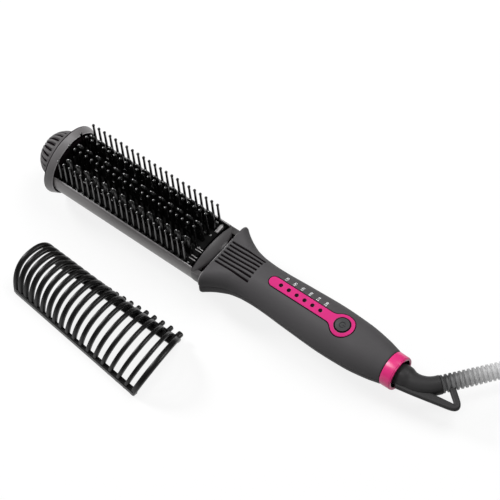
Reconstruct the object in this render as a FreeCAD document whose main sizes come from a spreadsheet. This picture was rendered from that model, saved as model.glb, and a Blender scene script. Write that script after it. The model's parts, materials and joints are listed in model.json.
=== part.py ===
import FreeCAD, Part
import math
import os
import re
import Sketcher

# A heated straightening brush with its comb guard lying beside it, in millimetres.
# Each piece of the brush is drawn along the brush's own axis: X runs from the back of the tip flange
# towards the cord, Z along the bristles. The brush is then tilted to rest on its flange and its collar.

Vector = FreeCAD.Vector
doc = FreeCAD.newDocument("straightening_brush")
sheet = doc.addObject("Spreadsheet::Sheet", "sizes")

sizes = {
    # clearances
    "fit_gap": 0.3,
    "thread_gap": 0.05,
    "overrun": 6.0,
    # tip of the head
    "flange_rise": 3.6,
    "flange_land": 0.8,
    "flange_depth": 5.2,
    "flange_front_rise": 1.2,
    "flange_gap": 0.35,
    "flange_floor": 2.0,
    "flange_spigot_depth": 4.5,
    "flange_spigot_wall": 2.0,
    "tip_step": 0.4,
    "tip_height": 20.0,
    "dome_inset": 4.6,
    "skirt_depth": 5.0,
    "flute_count": 24,
    "flute_radius": 1.05,
    "tip_screw_radius": 1.2,
    "tip_screw_head_radius": 2.4,
    "tip_screw_head_depth": 1.8,
    "tip_screw_length": 7.0,
    "tip_screw_offset": 10.0,
    # barrel shell and bristle bed
    "shell_radius": 22.4,
    "shell_wall": 1.4,
    "shell_edge_height": 7.0,
    "shell_end": 128.0,
    "ledge_width": 3.2,
    "ledge_thickness": 1.5,
    "bed_side_gap": 0.7,
    "bed_crown_height": 8.5,
    "bed_edge_height": 4.4,
    "bed_base_height": 1.0,
    # rows of pins
    "pin_count": 23,
    "pin_pitch": 5.0,
    "first_pin_place": 10.5,
    "row_margin": 1.9,
    "inner_row_offset": 6.15,
    "outer_tip_height": 28.4,
    "inner_tip_height": 32.8,
    "pin_radius": 0.65,
    "ball_radius": 1.1,
    "strip_half_width": 1.1,
    "strip_depth": 2.6,
    "strip_recess": 0.15,
    # combs of heated teeth
    "tooth_count": 14,
    "tooth_pitch": 8.0,
    "tooth_width": 6.2,
    "tooth_thickness": 2.4,
    "first_tooth_place": 14.5,
    "side_comb_height": 26.5,
    "middle_comb_height": 30.0,
    "comb_root_height": 10.5,
    # heater inside the barrel
    "plate_start": 8.0,
    "plate_end": 124.0,
    "plate_margin": 3.8,
    "plate_thickness": 3.2,
    "element_margin": 4.5,
    "element_thickness": 2.2,
    "element_inset": 4.0,
    "insulator_margin": 4.0,
    "insulator_thickness": 1.0,
    "carrier_half_width": 6.0,
    "carrier_wall": 2.0,
    "carrier_gap": 1.0,
    "thermistor_length": 4.0,
    "thermistor_width": 2.0,
    "fuse_radius": 1.6,
    "fuse_length": 10.0,
    "sensor_margin": 2.3,
    "sensor_place": 60.0,
    # rear collar of the head
    "collar_rise": 0.3,
    "collar_depth": 8.0,
    "collar_bulge": 4.5,
    "collar_top_height": 11.0,
    "collar_toe_height": 4.5,
    "collar_land": 1.2,
    "collar_plug_depth": 2.1,
    "spigot_radius": 8.2,
    "spigot_bore": 6.4,
    "spigot_end": 157.0,
    "spigot_flange_radius": 9.3,
    "spigot_flange_depth": 2.5,
    "catch_width": 10.0,
    "catch_depth": 4.4,
    "catch_height": 3.2,
    # handle casing
    "handle_start": 137.6,
    "handle_end": 279.3,
    "flare_half_width": 27.4,
    "flare_half_height": 11.8,
    "waist_half_width": 15.3,
    "waist_half_height": 15.4,
    "belly_half_width": 17.7,
    "belly_half_height": 16.0,
    "tail_radius": 12.5,
    "casing_wall": 2.2,
    "front_wall": 2.4,
    "end_wall": 3.0,
    "groove_count": 7,
    "groove_pitch": 3.1,
    "groove_width": 1.4,
    "groove_depth": 1.0,
    "groove_start": 139.6,
    "groove_end": 168.0,
    # control panel
    "bar_start": 179.5,
    "bar_half_width": 3.85,
    "button_place": 240.4,
    "bezel_ring_radius": 8.6,
    "panel_base_height": 12.5,
    "panel_gap": 0.25,
    "lamp_count": 6,
    "lamp_pitch": 6.64,
    "first_lamp_place": 188.8,
    "lamp_hole_radius": 1.2,
    "lamp_post_radius": 0.95,
    "lamp_post_recess": 0.5,
    "lamp_size": 1.6,
    "lamp_height": 1.5,
    "guide_thickness": 2.5,
    "guide_half_width": 3.0,
    "guide_margin": 4.0,
    "button_radius": 5.65,
    "button_proud": 0.35,
    "button_travel": 0.8,
    "button_hole_radius": 6.0,
    "button_flange_radius": 6.6,
    "button_flange_thickness": 0.7,
    "button_seat_depth": 1.1,
    "button_seat_gap": 0.4,
    "switch_width": 6.0,
    "switch_height": 2.7,
    "plunger_radius": 1.7,
    "plunger_gap": 0.1,
    "board_start": 183.0,
    "board_end": 250.0,
    "board_half_width": 9.0,
    "board_thickness": 1.6,
    "board_screw_radius": 1.0,
    "board_screw_head_radius": 1.9,
    "board_screw_head_depth": 1.2,
    "board_screw_length": 6.0,
    "board_screw_inset": 4.0,
    "board_post_radius": 2.4,
    # casing screws
    "front_screw_place": 172.0,
    "rear_screw_place": 259.0,
    "screw_boss_radius": 3.2,
    "screw_radius": 1.25,
    "screw_hole_radius": 1.6,
    "screw_head_radius": 2.5,
    "screw_head_depth": 2.0,
    "screw_head_height": -9.0,
    "screw_tip_height": 8.0,
    "screw_head_gap": 0.25,
    # leads inside the handle
    "lead_radius": 0.9,
    "lead_gap": 0.1,
    "head_lead_offset": 3.0,
    "head_lead_end_offset": 4.9,
    "head_lead_start": 127.0,
    "head_lead_height": 0.6,
    "mains_lead_offset": 6.0,
    "mains_lead_end_offset": 8.6,
    # end ring and swivel
    "end_ring_depth": 8.7,
    "end_ring_radius": 12.5,
    "end_ring_mouth_radius": 12.35,
    "end_ring_bore": 10.4,
    "end_ring_floor": 2.0,
    "bush_radius": 6.8,
    "bush_bore": 5.3,
    "bush_length": 11.0,
    "bush_flange_radius": 9.6,
    "bush_flange_depth": 2.5,
    "stub_radius": 5.0,
    "stub_flange_radius": 6.4,
    "stub_flange_depth": 3.5,
    "neck_radius": 8.4,
    "neck_mouth_radius": 8.9,
    "neck_mouth_place": 290.0,
    "neck_end_place": 296.0,
    "elbow_place": 306.2,
    "elbow_bend_radius": 20.0,
    "elbow_radius": 6.3,
    "elbow_turn": 51.9,
    "sleeve_offset": 11.7,
    "sleeve_length": 50.0,
    "rib_count": 16,
    "rib_radius": 6.2,
    "rib_root_radius": 5.0,
    "sleeve_bore_depth": 12.0,
    "loop_bar_radius": 2.3,
    "loop_length": 37.0,
    "loop_corner_radius": 4.5,
    "loop_corner_offset": 1.3,
    "loop_root_offset": -7.9,
    "loop_end_run": 14.2,
    "loop_end_offset": 12.5,
    # cord, coil and plug
    "cord_radius": 3.0,
    "cord_run": 25.0,
    "cord_bend": -6.0,
    "coil_middle_radius": 36.0,
    "coil_whole_turns": 7,
    "coil_spacing": 6.8,
    "coil_exit_turn": -90.0,
    "tie_wall": 0.8,
    "tie_width": 12.0,
    "tie_gap": 0.4,
    "tail_run": 16.0,
    "plug_height": 14.0,
    "plug_width": 30.0,
    "plug_neck_width": 12.0,
    "plug_length": 36.0,
    "plug_shoulder_length": 20.0,
    "plug_pin_radius": 2.0,
    "plug_pin_length": 19.0,
    "plug_pin_spacing": 19.0,
    # comb guard
    "guard_length": 124.3,
    "guard_tip_width": 40.2,
    "guard_rear_width": 55.6,
    "guard_tip_skew": 5.2,
    "guard_rear_skew": -8.9,
    "guard_tip_height": 26.8,
    "guard_rear_height": 23.0,
    "guard_tip_lean": 4.0,
    "guard_rear_lean": 9.3,
    "guard_rib_count": 19,
    "guard_tip_rib_width": 3.2,
    "guard_rear_rib_width": 2.2,
    "guard_rib_thickness": 2.8,
    "guard_rail_width": 3.0,
    "guard_rail_height": 5.0,
    "guard_foot_tip_width": 4.2,
    "guard_foot_rear_width": 11.0,
    "guard_foot_height": 2.4,
    "guard_tooth_length": 2.4,
    "guard_tooth_low": 4.0,
    "guard_tooth_high": 8.0,
    "guard_place_along": 23.5,
    "guard_place_across": -94.6,
    "guard_yaw": -7.07,
}

# Sizes that follow from the ones above, as formulas in the sheet.
derived = {
    "flange_radius": "shell_radius + flange_rise",
    "flange_front_radius": "shell_radius + flange_front_rise",
    "tip_radius": "flange_radius - tip_step",
    "dome_radius": "shell_radius - dome_inset",
    "bed_half_width": "shell_radius - shell_wall - bed_side_gap",
    "outer_row_offset": "bed_half_width - row_margin",
    "side_comb_offset": "(outer_row_offset + inner_row_offset) / 2",
    "plate_half_width": "bed_half_width - plate_margin",
    "element_half_width": "plate_half_width - element_margin",
    "insulator_half_width": "plate_half_width - insulator_margin",
    "sensor_offset": "plate_half_width - sensor_margin",
    "carrier_foot_height": "shell_wall + carrier_gap - shell_radius",
    "collar_radius": "shell_radius + collar_rise",
}

# Shares of the handle's length, and of the change from one named section to the next.
flare_place_shares = (0.0, 0.045, 0.0885, 0.137, 0.201, 0.2705)
flare_width_shares = (1.0, 0.615, 0.345, 0.135, 0.025, 0.0)
flare_height_shares = (0.0, 0.11, 0.28, 0.53, 0.86, 1.0)
flare_round_shares = (0.62, 0.68, 0.76, 0.85, 0.93, 0.97)
belly_place_shares = (0.468, 0.666)
belly_blend_shares = (0.55, 1.0)
tail_place_shares = (0.807, 0.92, 1.0)
tail_blend_shares = (0.12, 0.51, 1.0)
grip_round_share = 0.97

# Shares of a rib's pitch, of the shorter run that an arc takes, and of one turn of the coil.
rib_place_shares = (0.1, 0.25, 0.8, 0.95)
arc_run_share = 0.45
coil_arc_share = 0.25
climb_share = 0.5
heading_share = 0.001

# Shares of the dome's arc where its flutes start and end, and of the skirt's depth and rise where it is hollow.
flute_start_share = 0.3
flute_end_share = 0.93
hollow_place_share = 0.35
hollow_rise_share = 0.36

# How much of the guard's length its growing pitch of ribs takes up.
guard_growth_share = 0.25

cells = {alias: str(number) for alias, number in sizes.items()}
cells.update({alias: f"={formula}" for alias, formula in derived.items()})
for row, (alias, content) in enumerate(cells.items(), 1):
    sheet.set(f"A{row}", alias)
    sheet.set(f"B{row}", content)
    sheet.setAlias(f"B{row}", alias)
doc.recompute()

nodes = []


def size(alias):
    return float(sheet.get(alias))


def bound(formula):
    return re.sub(r"[a-z][a-z_]*", r"sizes.\g<0>", formula)


def worth(formula):
    # the value of a sum of sizes, written with a space on each side of its signs
    total = 0.0
    sign = 1.0
    for word in formula.split():
        if word in "+-":
            sign = 1.0 if word == "+" else -1.0
        elif word != "0":
            total += sign * size(word)
            sign = 1.0
    return total


def node(item, label, group):
    item.Label = label
    nodes.append((item, group))
    return item


def feature(label, shape, group="brush"):
    item = doc.addObject("Part::Feature", label)
    item.Shape = shape
    return node(item, label, group)


def box(name, along, across, up):
    # a block between two formulas on each axis
    item = doc.addObject("Part::Box", name)
    for side, axis, (low, high) in zip(("Length", "Width", "Height"), "xyz", (along, across, up)):
        item.setExpression(side, f"({bound(high)}) - ({bound(low)})")
        item.setExpression(f"Placement.Base.{axis}", bound(low))
    return item


def drum(name, radius, start, end, height="0", across="0"):
    # a cylinder along X
    item = doc.addObject("Part::Cylinder", name)
    item.Placement = FreeCAD.Placement(Vector(), FreeCAD.Rotation(Vector(0, 1, 0), 90))
    item.setExpression("Radius", bound(radius))
    item.setExpression("Height", f"({bound(end)}) - ({bound(start)})")
    item.setExpression("Placement.Base.x", bound(start))
    item.setExpression("Placement.Base.y", bound(across))
    item.setExpression("Placement.Base.z", bound(height))
    return item


def post(name, radius, along, across, low, high):
    # a cylinder along Z
    item = doc.addObject("Part::Cylinder", name)
    item.setExpression("Radius", bound(radius))
    item.setExpression("Height", f"({bound(high)}) - ({bound(low)})")
    item.setExpression("Placement.Base.x", bound(along))
    item.setExpression("Placement.Base.y", bound(across))
    item.setExpression("Placement.Base.z", bound(low))
    return item


def fuse(name, pieces):
    item = doc.addObject("Part::MultiFuse", name)
    item.Shapes = pieces
    return item


def cut(name, base, tool):
    item = doc.addObject("Part::Cut", name)
    item.Base = base
    item.Tool = tool
    return item


def group_of(name, pieces):
    item = doc.addObject("Part::Compound", name)
    item.Links = pieces
    return item


def origin_plane(body, role):
    return next(plane for plane in body.Origin.OriginFeatures if plane.Role == role)


def outline(body, name, role, points):
    # a closed sketch whose corners are bound to the sheet
    sketch = body.newObject("Sketcher::SketchObject", name)
    sketch.AttachmentSupport = [(origin_plane(body, role), "")]
    sketch.MapMode = "FlatFace"
    corners = [Vector(worth(first), worth(second), 0) for first, second in points]
    for place, corner in enumerate(corners):
        sketch.addGeometry(Part.LineSegment(corner, corners[(place + 1) % len(corners)]))
    for place in range(len(corners)):
        follower = (place + 1) % len(corners)
        sketch.addConstraint(Sketcher.Constraint("Coincident", place, 2, follower, 1))
    for place, (first, second) in enumerate(points):
        for kind, formula, axis in (("DistanceX", first, -2), ("DistanceY", second, -1)):
            if formula == "0":
                sketch.addConstraint(Sketcher.Constraint("PointOnObject", place, 1, axis))
                continue
            number = sketch.addConstraint(Sketcher.Constraint(kind, place, 1, worth(formula)))
            sketch.setExpression(f"Constraints[{number}]", bound(formula))
    return sketch


def turned(label, points):
    # a body of revolution about the brush's axis, from an outline of places along X and radii
    body = doc.addObject("PartDesign::Body", label)
    profile = outline(body, f"{label}_outline", "XY_Plane", points)
    turn = body.newObject("PartDesign::Revolution", f"{label}_turn")
    turn.Profile = profile
    turn.ReferenceAxis = (profile, ["H_Axis"])
    turn.Angle = 360
    return body


def line(first, second):
    return Part.LineSegment(first, second).toShape()


def arc(first, middle, last):
    return Part.Arc(first, middle, last).toShape()


def prism(points, travel):
    ring = Part.makePolygon(list(points) + [points[0]])
    return Part.Face(ring).extrude(travel)


def rod(radius, first, last):
    return Part.makeCylinder(radius, (last - first).Length, first, last - first)


# Cool tip, its flange and the screws that hold them together.
def build_tip():
    rim = size("tip_radius")
    radius = size("dome_radius")
    height = size("tip_height")
    skirt = size("skirt_depth")
    flute = size("flute_radius")
    rise = skirt + (height - skirt) / math.sqrt(2)
    spread = radius / math.sqrt(2)
    apex = Vector(-height, 0, 0)
    root = Vector(-skirt, 0, radius)
    meridian = Part.Arc(apex, Vector(-rise, 0, spread), root)
    hollow = Vector(-skirt * hollow_place_share, 0, radius + (rim - radius) * hollow_rise_share)
    edges = [
        meridian.toShape(),
        arc(root, hollow, Vector(0, 0, rim)),
        line(Vector(0, 0, rim), Vector()),
        line(Vector(), apex),
    ]
    dome = Part.Face(Part.Wire(edges)).revolve(Vector(), Vector(1, 0, 0), 360)
    span = meridian.LastParameter - meridian.FirstParameter
    first = meridian.FirstParameter + span * flute_start_share
    last = meridian.FirstParameter + span * flute_end_share
    path = Part.Wire(Part.Edge(meridian, first, last))
    section = Part.Wire(Part.Circle(meridian.value(first), meridian.tangent(first)[0], flute).toShape())
    groove = path.makePipeShell([section], True, False)
    flutes = []
    count = int(size("flute_count"))
    for step in range(count):
        turned_groove = groove.copy()
        turned_groove.rotate(Vector(), Vector(1, 0, 0), 360 * step / count)
        flutes.append(turned_groove)
    screw = size("tip_screw_radius") + size("thread_gap")
    depth = size("tip_screw_length") - size("flange_floor")
    holes = [
        rod(screw, Vector(-depth, across, 0), Vector(0, across, 0))
        for across in (-size("tip_screw_offset"), size("tip_screw_offset"))
    ]
    feature("cool_tip", dome.cut(flutes + holes))

    cup = turned("tip_cup", (
        ("0", "0"),
        ("0", "flange_radius"),
        ("flange_land", "flange_radius"),
        ("flange_depth", "flange_front_radius"),
        ("flange_depth", "shell_radius + flange_gap"),
        ("flange_floor", "shell_radius + flange_gap"),
        ("flange_floor", "shell_radius - shell_wall - fit_gap"),
        ("flange_floor + flange_spigot_depth", "shell_radius - shell_wall - fit_gap"),
        ("flange_floor + flange_spigot_depth", "shell_radius - shell_wall - fit_gap - flange_spigot_wall"),
        ("flange_floor", "shell_radius - shell_wall - fit_gap - flange_spigot_wall"),
        ("flange_floor", "0"),
    ))
    screws = []
    holes = []
    for side, across in (("left", "tip_screw_offset"), ("right", "0 - tip_screw_offset")):
        end = "flange_floor - tip_screw_length + thread_gap"
        shank = drum(f"tip_shank_{side}", "tip_screw_radius", end, "flange_floor", "0", across)
        head_end = "flange_floor + tip_screw_head_depth"
        head = drum(f"tip_head_{side}", "tip_screw_head_radius", "flange_floor", head_end, "0", across)
        hole_radius = "tip_screw_radius + thread_gap"
        holes.append(drum(f"tip_hole_{side}", hole_radius, "0 - overrun", "flange_floor", "0", across))
        screws.append(fuse(f"tip_screw_{side}", [shank, head]))
    node(cut("tip_flange", cup, group_of("tip_holes", holes)), "tip_flange", "brush")
    node(group_of("tip_screws", screws), "tip_screws", "brush")


# Grey metal shell, open at the top, with a ledge on each side for the bed.
def build_shell():
    outer = size("shell_radius")
    inner = outer - size("shell_wall")
    height = size("shell_edge_height")
    start = size("flange_floor")
    end = size("shell_end")

    def rim(radius, side):
        return Vector(start, side * math.sqrt(radius**2 - height**2), height)

    outside = arc(rim(outer, -1), Vector(start, 0, -outer), rim(outer, 1))
    inside = arc(rim(inner, 1), Vector(start, 0, -inner), rim(inner, -1))
    edges = [outside, line(rim(outer, 1), rim(inner, 1)), inside, line(rim(inner, -1), rim(outer, -1))]
    shell = Part.Face(Part.Wire(edges)).extrude(Vector(end - start, 0, 0))
    top = size("bed_base_height")
    thick = size("ledge_thickness")
    clear = start + size("flange_spigot_depth") + size("fit_gap")
    stop = end - size("collar_plug_depth") - size("fit_gap")
    reach = outer - size("shell_wall") / 2
    wide = reach - inner + size("ledge_width")
    hull = Part.makeCylinder(reach, stop - clear, Vector(clear, 0, 0), Vector(1, 0, 0))
    for across in (-reach, reach - wide):
        ledge = Part.makeBox(stop - clear, wide, thick, Vector(clear, across, top - thick))
        shell = shell.fuse(ledge.common(hull))
    feature("barrel_shell", shell.removeSplitter())


def bed_surface(across):
    # height of the crowned bed above the axis
    half = size("bed_half_width")
    rise = size("bed_crown_height") - size("bed_edge_height")
    radius = (half**2 + rise**2) / (2 * rise)
    return size("bed_crown_height") - radius + math.sqrt(radius**2 - across**2)


def bed_span():
    gap = size("fit_gap")
    start = size("flange_floor") + size("flange_spigot_depth") + gap
    return start, size("shell_end") - size("collar_plug_depth") - gap


# Black crowned bed with a slot for each strip of pins and each comb.
def build_bed():
    start, end = bed_span()
    half = size("bed_half_width")
    base = size("bed_base_height")
    edge = size("bed_edge_height")
    crown = size("bed_crown_height")
    left = Vector(start, -half, edge)
    right = Vector(start, half, edge)
    edges = [
        line(Vector(start, -half, base), left),
        arc(left, Vector(start, 0, crown), right),
        line(right, Vector(start, half, base)),
        line(Vector(start, half, base), Vector(start, -half, base)),
    ]
    bed = Part.Face(Part.Wire(edges)).extrude(Vector(end - start, 0, 0))
    slots = []
    gap = size("fit_gap") / 2
    for row in pin_rows():
        across, _, top = row
        wide = size("strip_half_width") + gap
        first, last = strip_span()
        floor = top - size("strip_depth")
        corner = Vector(first - gap, across - wide, floor)
        slots.append(Part.makeBox(last - first + 2 * gap, 2 * wide, size("overrun"), corner))
    for across, _ in comb_rows():
        wide = size("tooth_thickness") / 2 + gap
        first, last = comb_span()
        corner = Vector(first - gap, across - wide, base - size("overrun"))
        slots.append(Part.makeBox(last - first + 2 * gap, 2 * wide, 4 * size("overrun"), corner))
    feature("bristle_bed", bed.cut(slots))


def pin_rows():
    # offset across, height of the ball's centre, and height of the strip's top, row by row
    rows = []
    for across, tip in (
        (-size("outer_row_offset"), size("outer_tip_height")),
        (-size("inner_row_offset"), size("inner_tip_height")),
        (size("inner_row_offset"), size("inner_tip_height")),
        (size("outer_row_offset"), size("outer_tip_height")),
    ):
        rows.append((across, tip, bed_surface(across) - size("strip_recess")))
    return rows


def strip_span():
    margin = size("pin_pitch") / 2
    first = size("first_pin_place")
    length = (size("pin_count") - 1) * size("pin_pitch")
    return first - margin, first + length + margin


def build_pins():
    first, last = strip_span()
    half = size("strip_half_width")
    for number, (across, tip, top) in enumerate(pin_rows(), 1):
        foot = top - size("strip_depth")
        corner = Vector(first, across - half, foot)
        strip = Part.makeBox(last - first, 2 * half, size("strip_depth"), corner)
        pins = []
        for step in range(int(size("pin_count"))):
            along = size("first_pin_place") + step * size("pin_pitch")
            root = Vector(along, across, top - size("strip_depth") / 2)
            head = Vector(along, across, tip)
            stem = rod(size("pin_radius"), root, head)
            pins.append(stem.fuse(Part.makeSphere(size("ball_radius"), head)))
        feature(f"pin_strip_{number}", strip.fuse(pins))


def comb_rows():
    return (
        (-size("side_comb_offset"), size("side_comb_height")),
        (0.0, size("middle_comb_height")),
        (size("side_comb_offset"), size("side_comb_height")),
    )


def comb_span():
    half = size("tooth_width") / 2
    first = size("first_tooth_place")
    length = (size("tooth_count") - 1) * size("tooth_pitch")
    return first - half, first + length + half


# Each comb is one blade with round-topped teeth, standing on the heater plate.
def build_combs():
    first, last = comb_span()
    base = size("bed_base_height")
    half = size("tooth_width") / 2
    thick = size("tooth_thickness")
    for number, (across, top) in enumerate(comb_rows(), 1):
        corner = Vector(first, across - thick / 2, base)
        blade = Part.makeBox(last - first, thick, size("comb_root_height") - base, corner)
        teeth = []
        for step in range(int(size("tooth_count"))):
            along = size("first_tooth_place") + step * size("tooth_pitch")
            near = across - thick / 2
            shoulder = top - half
            left = Vector(along - half, near, shoulder)
            right = Vector(along + half, near, shoulder)
            left_foot = Vector(along - half, near, base)
            right_foot = Vector(along + half, near, base)
            edges = [
                line(left_foot, left),
                arc(left, Vector(along, near, top), right),
                line(right, right_foot),
                line(right_foot, left_foot),
            ]
            teeth.append(Part.Face(Part.Wire(edges)).extrude(Vector(0, thick, 0)))
        feature(f"heat_comb_{number}", blade.fuse(teeth).removeSplitter())


# Heater plate, element and insulator, carried on a channel that stands on the shell.
def build_heater():
    plate_low = "bed_base_height - plate_thickness"
    element_low = f"{plate_low} - element_thickness"
    insulator_low = f"{element_low} - insulator_thickness"
    across = ("0 - plate_half_width", "plate_half_width")
    length = ("plate_start", "plate_end")
    plate = box("plate_block", length, across, (plate_low, "bed_base_height"))
    node(group_of("heater_plate", [plate]), "heater_plate", "brush")
    inset = ("plate_start + element_inset", "plate_end - element_inset")
    across = ("0 - element_half_width", "element_half_width")
    element = box("element_block", inset, across, (element_low, plate_low))
    node(group_of("heating_element", [element]), "heating_element", "brush")
    across = ("0 - insulator_half_width", "insulator_half_width")
    insulator = box("insulator_block", length, across, (insulator_low, element_low))
    node(group_of("insulator_sheet", [insulator]), "insulator_sheet", "brush")
    across = ("0 - carrier_half_width", "carrier_half_width")
    block = box("carrier_block", length, across, ("carrier_foot_height", insulator_low))
    inside = ("carrier_wall - carrier_half_width", "carrier_half_width - carrier_wall")
    through = ("plate_start - overrun", "plate_end + overrun")
    hollow = ("carrier_foot_height - overrun", f"{insulator_low} - carrier_wall")
    channel = box("carrier_hollow", through, inside, hollow)
    node(cut("heater_carrier", block, channel), "heater_carrier", "brush")
    along = ("sensor_place", "sensor_place + thermistor_length")
    across = ("sensor_offset - thermistor_width", "sensor_offset")
    bead = box("thermistor_block", along, across, (f"{plate_low} - thermistor_width", plate_low))
    node(group_of("thermistor", [bead]), "thermistor", "brush")
    height = f"{plate_low} - fuse_radius"
    end = "sensor_place + fuse_length"
    link = drum("fuse_drum", "fuse_radius", "sensor_place", end, height, "0 - sensor_offset")
    node(group_of("thermal_fuse", [link]), "thermal_fuse", "brush")


# Grey collar behind the bristles: a ramp with a bowed rear edge, and a hollow spigot into the handle.
def build_collar():
    start = size("shell_end")
    end = start + size("collar_depth")
    radius = size("collar_radius")
    land = start + size("collar_land")
    bow = end - size("collar_bulge")
    top = size("collar_top_height")
    toe = size("collar_toe_height")
    wide = Vector(0, 2 * radius, 0)
    side = prism((
        Vector(start, -radius, -radius),
        Vector(start, -radius, top),
        Vector(land, -radius, top),
        Vector(end, -radius, toe),
        Vector(end, -radius, -radius),
    ), wide)
    edges = [
        line(Vector(start, radius, -radius), Vector(start, -radius, -radius)),
        line(Vector(start, -radius, -radius), Vector(bow, -radius, -radius)),
        arc(Vector(bow, -radius, -radius), Vector(end, 0, -radius), Vector(bow, radius, -radius)),
        line(Vector(bow, radius, -radius), Vector(start, radius, -radius)),
    ]
    plan = Part.Face(Part.Wire(edges)).extrude(Vector(0, 0, 2 * radius))
    disc = Part.makeCylinder(radius, end - start, Vector(start, 0, 0), Vector(1, 0, 0))
    body = disc.common(side).common(plan)
    inner = size("shell_radius") - size("shell_wall") - size("fit_gap")
    depth = size("collar_plug_depth")
    plug = Part.makeCylinder(inner, depth, Vector(start - depth, 0, 0), Vector(1, 0, 0))
    lid = Part.makeBox(depth, 2 * inner, inner + toe, Vector(start - depth, -inner, -inner))
    spigot_end = size("spigot_end")
    spigot = rod(size("spigot_radius"), Vector(start, 0, 0), Vector(spigot_end, 0, 0))
    inside = size("handle_start") + size("front_wall") + size("fit_gap")
    thick = Vector(size("spigot_flange_depth"), 0, 0)
    stop = rod(size("spigot_flange_radius"), Vector(inside, 0, 0), Vector(inside, 0, 0) + thick)
    bore_start = Vector(start - depth - size("overrun"), 0, 0)
    bore = rod(size("spigot_bore"), bore_start, Vector(spigot_end + size("overrun"), 0, 0))
    solid = body.fuse([plug.common(lid), spigot, stop]).cut(bore)
    feature("rear_collar", solid.removeSplitter())

    # catch for the guard: a low lens on the ramp
    half = size("catch_width") / 2
    rise = size("catch_height")
    slope = Vector(end - land, 0, toe - top)
    middle = Vector(land, 0, top) + slope * 0.5
    along = slope.normalize() * (size("catch_depth") / 2)
    up = Vector(-slope.z, 0, slope.x) * rise
    left = middle + Vector(0, -half, 0) - along
    right = middle + Vector(0, half, 0) - along
    bowed = arc(left, middle + up - along, right)
    lens = Part.Face(Part.Wire([bowed, line(right, left)])).extrude(along * 2)
    feature("guard_catch", lens.cut(solid))


def handle_sections():
    # place along X, half width, half height and corner share of each section of the handle
    start = size("handle_start")
    length = size("handle_end") - start
    sections = []
    for place, wide, tall, round_share in zip(
        flare_place_shares, flare_width_shares, flare_height_shares, flare_round_shares
    ):
        width = size("waist_half_width") + (size("flare_half_width") - size("waist_half_width")) * wide
        height = size("flare_half_height") + (size("waist_half_height") - size("flare_half_height")) * tall
        sections.append((start + length * place, width, height, round_share))
    for place, blend in zip(belly_place_shares, belly_blend_shares):
        width = size("waist_half_width") + (size("belly_half_width") - size("waist_half_width")) * blend
        height = size("waist_half_height") + (size("belly_half_height") - size("waist_half_height")) * blend
        sections.append((start + length * place, width, height, grip_round_share))
    for place, blend in zip(tail_place_shares, tail_blend_shares):
        width = size("belly_half_width") + (size("tail_radius") - size("belly_half_width")) * blend
        height = size("belly_half_height") + (size("tail_radius") - size("belly_half_height")) * blend
        sections.append((start + length * place, width, height, grip_round_share))
    return sections


def section_wire(along, width, height, round_share):
    # a rectangle with round corners, square to the axis
    corner = min(width, height) * round_share
    flat = width - corner
    wall = height - corner
    bend = corner / math.sqrt(2)
    edges = []
    for across, up in ((1, 1), (-1, 1), (-1, -1), (1, -1)):
        side = Vector(along, across * width, up * wall)
        crown = Vector(along, across * flat, up * height)
        middle = Vector(along, across * (flat + bend), up * (wall + bend))
        if across * up > 0:
            edges.append(arc(side, middle, crown))
            edges.append(line(crown, Vector(along, -across * flat, up * height)))
        else:
            edges.append(arc(crown, middle, side))
            edges.append(line(side, Vector(along, across * width, -up * wall)))
    return Part.Wire(edges)


def handle_form(inset):
    wires = []
    for along, width, height, round_share in handle_sections():
        wires.append(section_wire(along, width - inset, height - inset, round_share))
    return Part.makeLoft(wires, True, False)


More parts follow.
